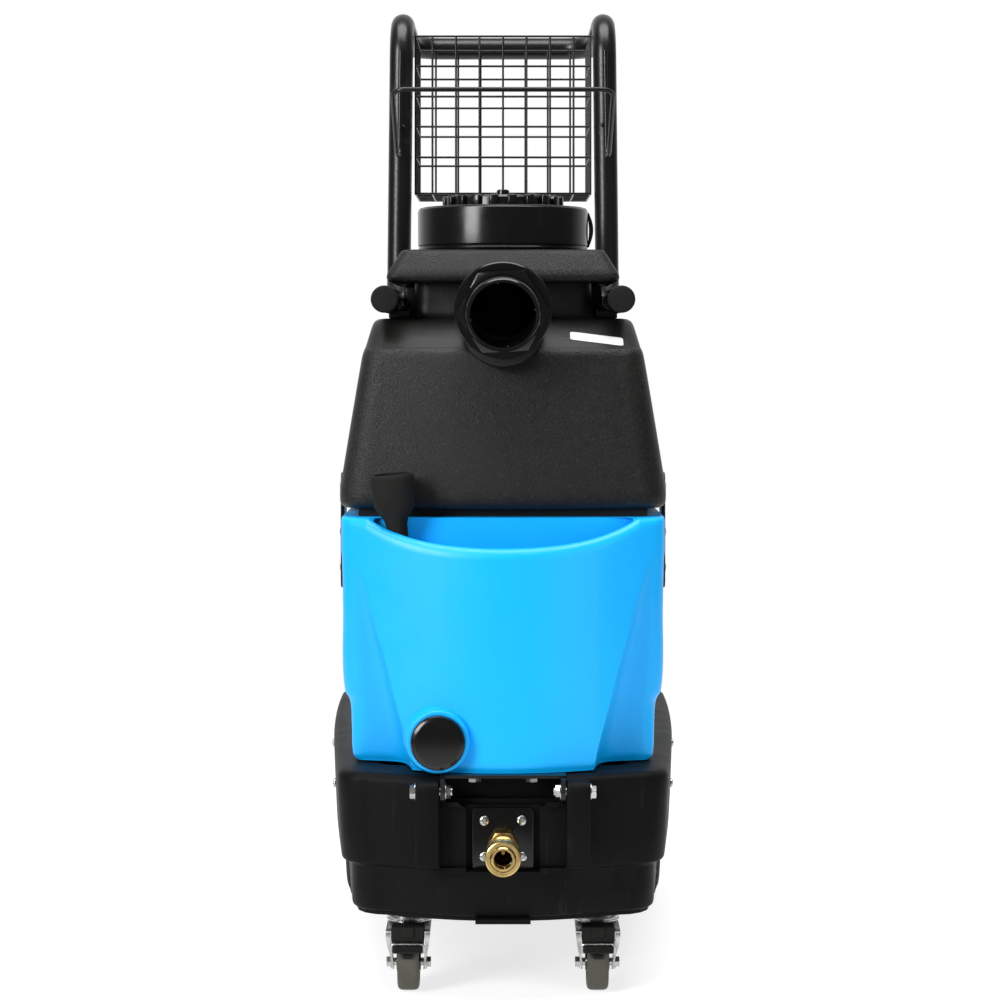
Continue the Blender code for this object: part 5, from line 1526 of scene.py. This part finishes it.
# --- handle and basket
@dataclass
class Handle:
    """The bent tube handle with its end plugs, saddles and hose cradle."""

    tube: float = 0.0127
    rail: tuple[float, float, float] = (0.1129, 0.103, 0.642)
    upright: float = 0.42
    grip: tuple[float, float, float] = (0.1096, 0.67, 0.948)

    def build(self) -> None:
        """Makes the tube and everything clamped to it."""
        x, front, z = self.rail
        grip_x, grip_depth, grip_z = self.grip
        right = [at(x, front, z), at(x, self.upright, z), at(grip_x, self.upright, grip_z),
                 at(grip_x, grip_depth, grip_z)]
        Form.tube(bent(both_sides(right), 0.04, 16), self.tube, 9).piece(
            "handle_tube", Finish.COAT, "tanks", "black_tube", ["handle_frame"], 50)
        for side, sign in SIDES:
            line = [(0.0, 0.0032), (0.0098, 0.0032), (0.0118, 0.0027), (0.0129, 0.0015), (0.0131, 0.0003),
                    (0.0131, 0.0), (0.0, 0.0)]
            cap = Form.turned(line, at(sign * x, front - GAP, z), -BACK, 48)
            cap.piece(f"rail_plug_{side}", Finish.RUBBER, "tanks", "rubber", [f"rail_cap_{side}"], 30)
            for end, depth in (("front", 0.185), ("rear", 0.34)):
                self.build_bracket(side, sign, end, depth)
        self.build_cradle()

    def build_bracket(self, side: str, sign: int, end: str, depth: float) -> None:
        """Makes a saddle foot under the rail with its screw, and a slanted lug that shows past the rail."""
        node = f"rail_bracket_{end}_{side}"
        low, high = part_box(node)
        foot = Form.block((low.x, high.x), (low.y - FRONT, high.y - FRONT), (low.z, high.z), 0.0012)
        rail = at(sign * self.rail[0], depth, self.rail[2])
        foot.combined(Form.rod(rail - BACK * 0.04, rail + BACK * 0.04, self.tube + GAP, sides=48))
        lug = Form.box((-0.0065, -0.0085, -0.0011), (0.0065, 0.0085, 0.0011), 0.0006)
        tilt = Matrix.Rotation(sign * math.radians(38), 4, "Y")
        foot.with_(lug.moved(Matrix.Translation(at(sign * 0.0975, depth, high.z + 0.003)) @ tilt))
        foot.piece(f"{node}_foot", Finish.COAT, "tanks", "black_tube", [node], 34)
        screw = pan_screw(at(sign * 0.0933, depth, high.z - 0.0002), UP, 0.0032, depth)
        screw.piece(f"{node}_screw", Finish.ZINC, "tanks", "zinc")

    def build_cradle(self) -> None:
        """Makes the wire hose cradle with its clamp screws."""
        face = self.upright - self.tube - 0.0026 - GAP
        right = [at(0.11, face, 0.915), at(0.1115, face, 0.8), at(0.112, 0.355, 0.8), at(0.1126, 0.262, 0.858)]
        Form.tube(bent(both_sides(right), 0.012, 8), 0.0025, 5).piece(
            "hose_cradle", Finish.COAT, "tanks", "black_tube", ["hose_hook"], 40)
        screw_set("upright_screws", "tanks", (
            (at(sign * 0.108, self.upright - self.tube + 0.0004, z), -BACK, 0.003, z * 7)
            for sign, z in ((-1, 0.8315), (1, 0.835))), Finish.COAT, "black_tube")


@dataclass
class Basket:
    """The wire basket behind the uprights: four sides and a floor of welded round wire."""

    front: float = 0.4349
    rear: float = 0.5695
    half: float = 0.0952
    wire: float = 0.0012
    rows: tuple[float, ...] = (0.762, 0.8017, 0.8351, 0.8679, 0.9009, 0.9335)
    columns: tuple[float, ...] = (-0.0952, -0.0768, -0.0512, -0.0256, 0.0, 0.0256, 0.0512, 0.0768, 0.0952)

    def straight(self, start: Vector, end: Vector) -> Form:
        """One wire."""
        return Form.rod(start, end, self.wire, sides=10)

    def panel(self, node: str, wires: Sequence[Form]) -> None:
        """Joins one side's wires into a piece."""
        Form().with_(*wires).piece(f"{node}_mat", Finish.COAT, "tanks", "black_tube", [node], 40)

    def build(self) -> None:
        """Makes the five mats."""
        low, high, half = self.rows[0], self.rows[-1], self.half
        for node, depth, out in (("basket_front", self.front, -1), ("basket_rear", self.rear, 1)):
            near = depth + out * 0.0001
            wires = [self.straight(at(x, near, low), at(x, near, high)) for x in self.columns]
            wires += [self.straight(at(-half, depth, z), at(half, depth, z)) for z in self.rows[1:]]
            wires.append(Form.block((-half, half), (depth - 0.0011, depth + 0.0011), (0.761, 0.7634), 0.0004))
            self.panel(node, wires)
        depths = [self.front + (self.rear - self.front) * i / 5 for i in range(1, 5)]
        for side, sign in SIDES:
            x = sign * half
            wires = [self.straight(at(x, depth, low), at(x, depth, high)) for depth in depths]
            wires += [self.straight(at(x, self.front, z), at(x, self.rear, z)) for z in self.rows]
            self.panel(f"basket_{side}", wires)
        floor = [self.straight(at(x, self.front, low), at(x, self.rear, low)) for x in self.columns[1:-1]]
        floor += [self.straight(at(-half, depth, low), at(half, depth, low)) for depth in depths]
        self.panel("basket_floor", floor)


# --- hinge, plates and rear fittings
@dataclass
class TiltHinge:
    """The pressed leaf under the tanks, its bolts, and the pivot bolts through the straps."""

    def build(self) -> None:
        """Makes the bolts and dresses the leaf."""
        dress("hinge_leaf", Finish.COAT)
        for side, sign in SIDES:
            pin = middle(f"hinge_bolt_{side}")
            near, seat, nut, far = (Vector((sign * x, pin.y, pin.z)) for x in (0.0458, 0.0794, 0.0522, 0.081))
            bolt = Form.rod(near, far, 0.004, sides=24, rounding=0.0005)
            bolt.with_(hex_head(seat, ACROSS * sign, 0.0128, 0.005, 0.4))
            bolt.with_(hex_head(nut, -ACROSS * sign, 0.0122, 0.0048, 0.9))
            bolt.piece(f"pivot_bolt_{side}", Finish.ZINC, "base", "steel", [f"hinge_bolt_{side}"], 30)
            low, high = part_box(f"leaf_bolt_{side}")
            seat = (low + high) / 2
            seat.z = high.z
            hex_head(seat, -UP, 0.013, high.z - low.z, 0.25 * sign).piece(
                f"leaf_screw_{side}", Finish.ZINC, "tanks", "zinc", [f"leaf_bolt_{side}"], 30)


@dataclass
class JoiningPlate:
    """A flat strap that joins the two tanks on one side."""

    side: str
    sign: int

    def build(self) -> None:
        """Makes the strap with its spacers and screws."""
        low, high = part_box(f"side_plate_{self.side}")
        depths = (low.y - FRONT, high.y - FRONT)
        outer = high.x if self.sign > 0 else -low.x
        plate = Form.block(between(self.sign, outer - 0.0025, outer), depths, (low.z, high.z))
        plate.rounded(0.008, plate.edges_along(0), 5).softened(0.0006, 50.0, 2)
        centre = (depths[0] + depths[1]) / 2
        for z in (0.38, 0.415):
            inside, outside = (at(self.sign * (outer - short), centre, z) for short in (0.0054, 0.002))
            plate.with_(Form.rod(inside, outside, 0.007, sides=28))
        plate.piece(f"joining_strap_{self.side}", Finish.COAT, "tanks", "black_tube", [f"side_plate_{self.side}"], 34)
        screw_set(f"joining_screws_{self.side}", "tanks", (
            (at(self.sign * (outer - 0.0001), centre, z), ACROSS * self.sign, 0.005, z * 9)
            for z in (0.38, 0.415, 0.4598)))


@dataclass
class ControlPanel:
    """The switch plate on the rear wall with two rockers, a lamp and a shrouded power inlet."""

    def build(self) -> None:
        """Makes the plate's trim and the fittings in it."""
        dress("switch_panel", Finish.RING)
        dress("power_inlet", Finish.GLOSS)
        for name in ("vacuum_switch", "pump_switch"):
            dress(name, Finish.GLOSS)
            rocker = middle(name)
            x, z = rocker.x, rocker.z
            bezel = Form.block((x - 0.014, x + 0.014), (0.5644, 0.566), (z - 0.0176, z + 0.0176), 0.0007)
            bezel.combined(Form.block((x - 0.0112, x + 0.0112), (0.55, 0.58), (z - 0.0152, z + 0.0152)))
            bezel.piece(f"{name}_bezel", Finish.GLOSS, "base", "black_gloss")
        line = [(0.0, 0.0043), (0.005, 0.0037), (0.0078, 0.002), (0.0086, 0.0006), (0.0099, 0.0004),
                (0.0099, -0.0008), (0.008, -0.001), (0.008, -0.005), (0.0, -0.005)]
        place = face_middle("power_lamp", back=True) - BACK * 0.0044
        Form.turned(line, place, BACK, 48).piece(
            "lamp_lens", Finish.AMBER, "base", "white_plastic", ["power_lamp"], 30)
        pins, socket = Form(), middle("power_inlet").z
        for x, up in ((-0.007, -0.003), (0.007, -0.003), (0.0, 0.0035)):
            z = socket + up
            pins.with_(Form.block((x - 0.001, x + 0.001), (0.5612, 0.5692), (z - 0.0022, z + 0.0022), 0.0004))
        pins.piece("power_pins", Finish.BRASS, "base", "brass")
        plate = [(at(x, 0.5641, z), BACK, 0.0034, x * 30 + z) for x in (-0.069, 0.069) for z in (0.1465, 0.1835)]
        shroud = [(at(x, 0.5701, 0.108), BACK, 0.0026, x * 20) for x in (-0.02, 0.02)]
        screw_set("panel_screws", "base", plate + shroud)


@dataclass
class DumpValve:
    """The ball valve that empties the recovery tank, with its quarter-turn lever."""

    steps: int = 56

    def build(self) -> None:
        """Makes the body and the lever."""
        centre = face_middle("dump_valve")
        line = [(0.0155, 0.0), (0.0155, 0.0255), (0.0225, 0.0258), (0.0238, 0.0268), (0.024, 0.029), (0.0236, 0.0312),
                (0.0205, 0.032), (0.0198, 0.033), (0.02, 0.04), (0.0196, 0.052), (0.0188, 0.056), (0.0168, 0.059),
                (0.012, 0.06), (0.0, 0.06), (0.0, 0.0)]
        body = Form.turned(line, centre, BACK, self.steps)
        spout = centre + BACK * 0.044
        body.with_(Form.rod(spout - UP * 0.01, spout - UP * 0.0238, 0.01, sides=40, rounding=0.0012))
        body.piece("valve_body", Finish.GLOSS, "tanks", "black_gloss", ["dump_valve"], 30)
        hub = Vector((centre.x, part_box("dump_lever")[0].y, centre.z))
        lever = Form.turned([(0.0, 0.0096), (0.008, 0.0094), (0.011, 0.0084), (0.0119, 0.0064), (0.0119, 0.0004),
                             (0.0, 0.0004)], hub, BACK, self.steps)
        arm = Form.box((-0.0058, 0.0012, -0.0575), (0.0058, 0.0062, 0.0), 0.0018)
        lever.with_(arm.moved(Matrix.Translation(hub)))
        lever.piece("valve_lever", Finish.COAT, "dump_lever", "black_tube", ["dump_lever"], 30)


def dress_inner_pieces() -> None:
    """Gives the pieces inside the base and the tank their finishes."""
    for node, finish in (
        ("base_pan", Finish.TUB), ("vacuum_motor", Finish.CASTING), ("pump_motor", Finish.CASTING),
        ("pump_head", Finish.BRASS), ("pump_saddle", Finish.RUBBER), ("rear_axle", Finish.STEEL),
        ("tank_gasket", Finish.FOAM), ("standpipe", Finish.GLOSS), ("float_cage", Finish.WHITE),
        ("float_ball", Finish.WHITE),
    ):
        dress(node, finish)


# --- studio
@dataclass
class Studio:
    """A bright sweep with a dark front: a large key, a weaker fill, a top light and a pale floor."""

    camera_place: Vector = field(default_factory=lambda: Vector((0, -2.5014, 0.605)))
    lens: float = 87.1
    shift: tuple[float, float] = (-0.003, -0.162)
    aim: Vector = field(default_factory=lambda: Vector((0, -0.05, 0.42)))
    floor_radius: float = 1.9
    fade: tuple[float, float] = (0.55, 1.75)

    def build(self) -> None:
        """Makes the camera, the world, the lights and the floor."""
        bpy.context.scene.view_settings.view_transform = "Standard"
        self.build_camera()
        self.build_world()
        self.light("key", Vector((-2.2, -2.5, 1.7)), (1.1, 1.8), 108.0)
        self.light("fill", Vector((2.3, -2.6, 0.7)), (1.8, 2.2), 43.0, glossy=False)
        self.light("top", Vector((0.0, -0.4, 2.9)), (2.4, 1.6), 84.0)
        self.build_floor()

    def build_camera(self) -> None:
        """Makes the level camera in front."""
        data = bpy.data.cameras.new("camera")
        data.lens, data.sensor_width = self.lens, 36.0
        data.shift_x, data.shift_y = self.shift
        camera = bpy.data.objects.new("camera", data)
        camera.location = self.camera_place
        camera.rotation_euler = (math.pi / 2, 0, 0)
        bpy.context.scene.collection.objects.link(camera)
        bpy.context.scene.camera = camera

    def build_world(self) -> None:
        """Makes a world that is white to the eye, dim ahead of the machine and bright behind it."""
        world = bpy.data.worlds.new("studio")
        world.use_nodes = True
        nodes, links = world.node_tree.nodes, world.node_tree.links
        coords, parts, span, seen, plain, mixed = (nodes.new(f"ShaderNode{kind}") for kind in (
            "TexCoord", "SeparateXYZ", "MapRange", "LightPath", "Background", "MixShader"))
        lit = nodes["Background"]
        for key, value in (("From Min", 0.28), ("From Max", 0.96), ("To Min", 0.15), ("To Max", 1.0)):
            span.inputs[key].default_value = value
        for shader in (plain, lit):
            shader.inputs["Color"].default_value = (1, 1, 1, 1)
        for source, target in (
            (coords.outputs["Generated"], parts.inputs[0]), (parts.outputs["Y"], span.inputs["Value"]),
            (span.outputs[0], lit.inputs["Strength"]), (seen.outputs["Is Camera Ray"], mixed.inputs[0]),
            (lit.outputs[0], mixed.inputs[1]), (plain.outputs[0], mixed.inputs[2]),
            (mixed.outputs[0], nodes["World Output"].inputs["Surface"]),
        ):
            links.new(source, target)
        bpy.context.scene.world = world

    def light(
        self, name: str, place: Vector, size: tuple[float, float], power: float, glossy: bool = True
    ) -> None:
        """Adds an area light that faces the machine.

        Args:
            name: the light's name.
            place: where it stands.
            size: its width and height.
            power: watts.
            glossy: whether it shows in reflections.
        """
        data = bpy.data.lights.new(name, "AREA")
        data.shape = "RECTANGLE"
        data.size, data.size_y = size
        data.energy = power
        lamp = bpy.data.objects.new(name, data)
        lamp.location = place
        lamp.visible_glossy = glossy
        lamp.rotation_euler = (self.aim - place).to_track_quat("-Z", "Y").to_euler()
        bpy.context.scene.collection.objects.link(lamp)

    def build_floor(self) -> None:
        """Makes the pale round floor, which fades into the world's white."""
        bm = bmesh.new()
        bmesh.ops.create_circle(bm, cap_ends=True, segments=96, radius=self.floor_radius)
        mesh = bpy.data.meshes.new("floor")
        bm.to_mesh(mesh)
        bm.free()
        r = Recipe("floor_paper")
        reach = (r.axis("X") ** 2.0 + r.axis("Y") ** 2.0) ** 0.5
        near, far = self.fade
        fade = r.steps((reach - near) / (far - near), ((0.0, 1.0), (1.0, 0.0)))
        tone = r.mix(r.noise(3.0, 2.0), (0.4, 0.4, 0.4), (0.44, 0.44, 0.44))
        mesh.materials.append(r.surface(
            Base_Color=tone, Roughness=0.9, Specular_IOR_Level=0.05, Alpha=fade,
            Emission_Color=(1.0, 1.0, 1.0), Emission_Strength=0.74,
        ))
        floor = bpy.data.objects.new("floor", mesh)
        bpy.context.scene.collection.objects.link(floor)


def main() -> None:
    """Builds the machine and its studio."""
    logging.basicConfig(level=logging.INFO, format="%(name)s: %(message)s")
    BaseTub().build()
    HoseCoupler().build()
    TiltHinge().build()
    for side, sign in SIDES:
        Caster(side).build()
        RearWheel(side, sign).build()
        JoiningPlate(side, sign).build()
    SolutionTank().build()
    DrainCap().build()
    RecoveryTank().build()
    TopCover().build()
    HoseInlet().build()
    FillFunnel().build()
    Handle().build()
    Basket().build()
    ControlPanel().build()
    DumpValve().build()
    dress_inner_pieces()
    Studio().build()


if __name__ == "__main__":
    main()
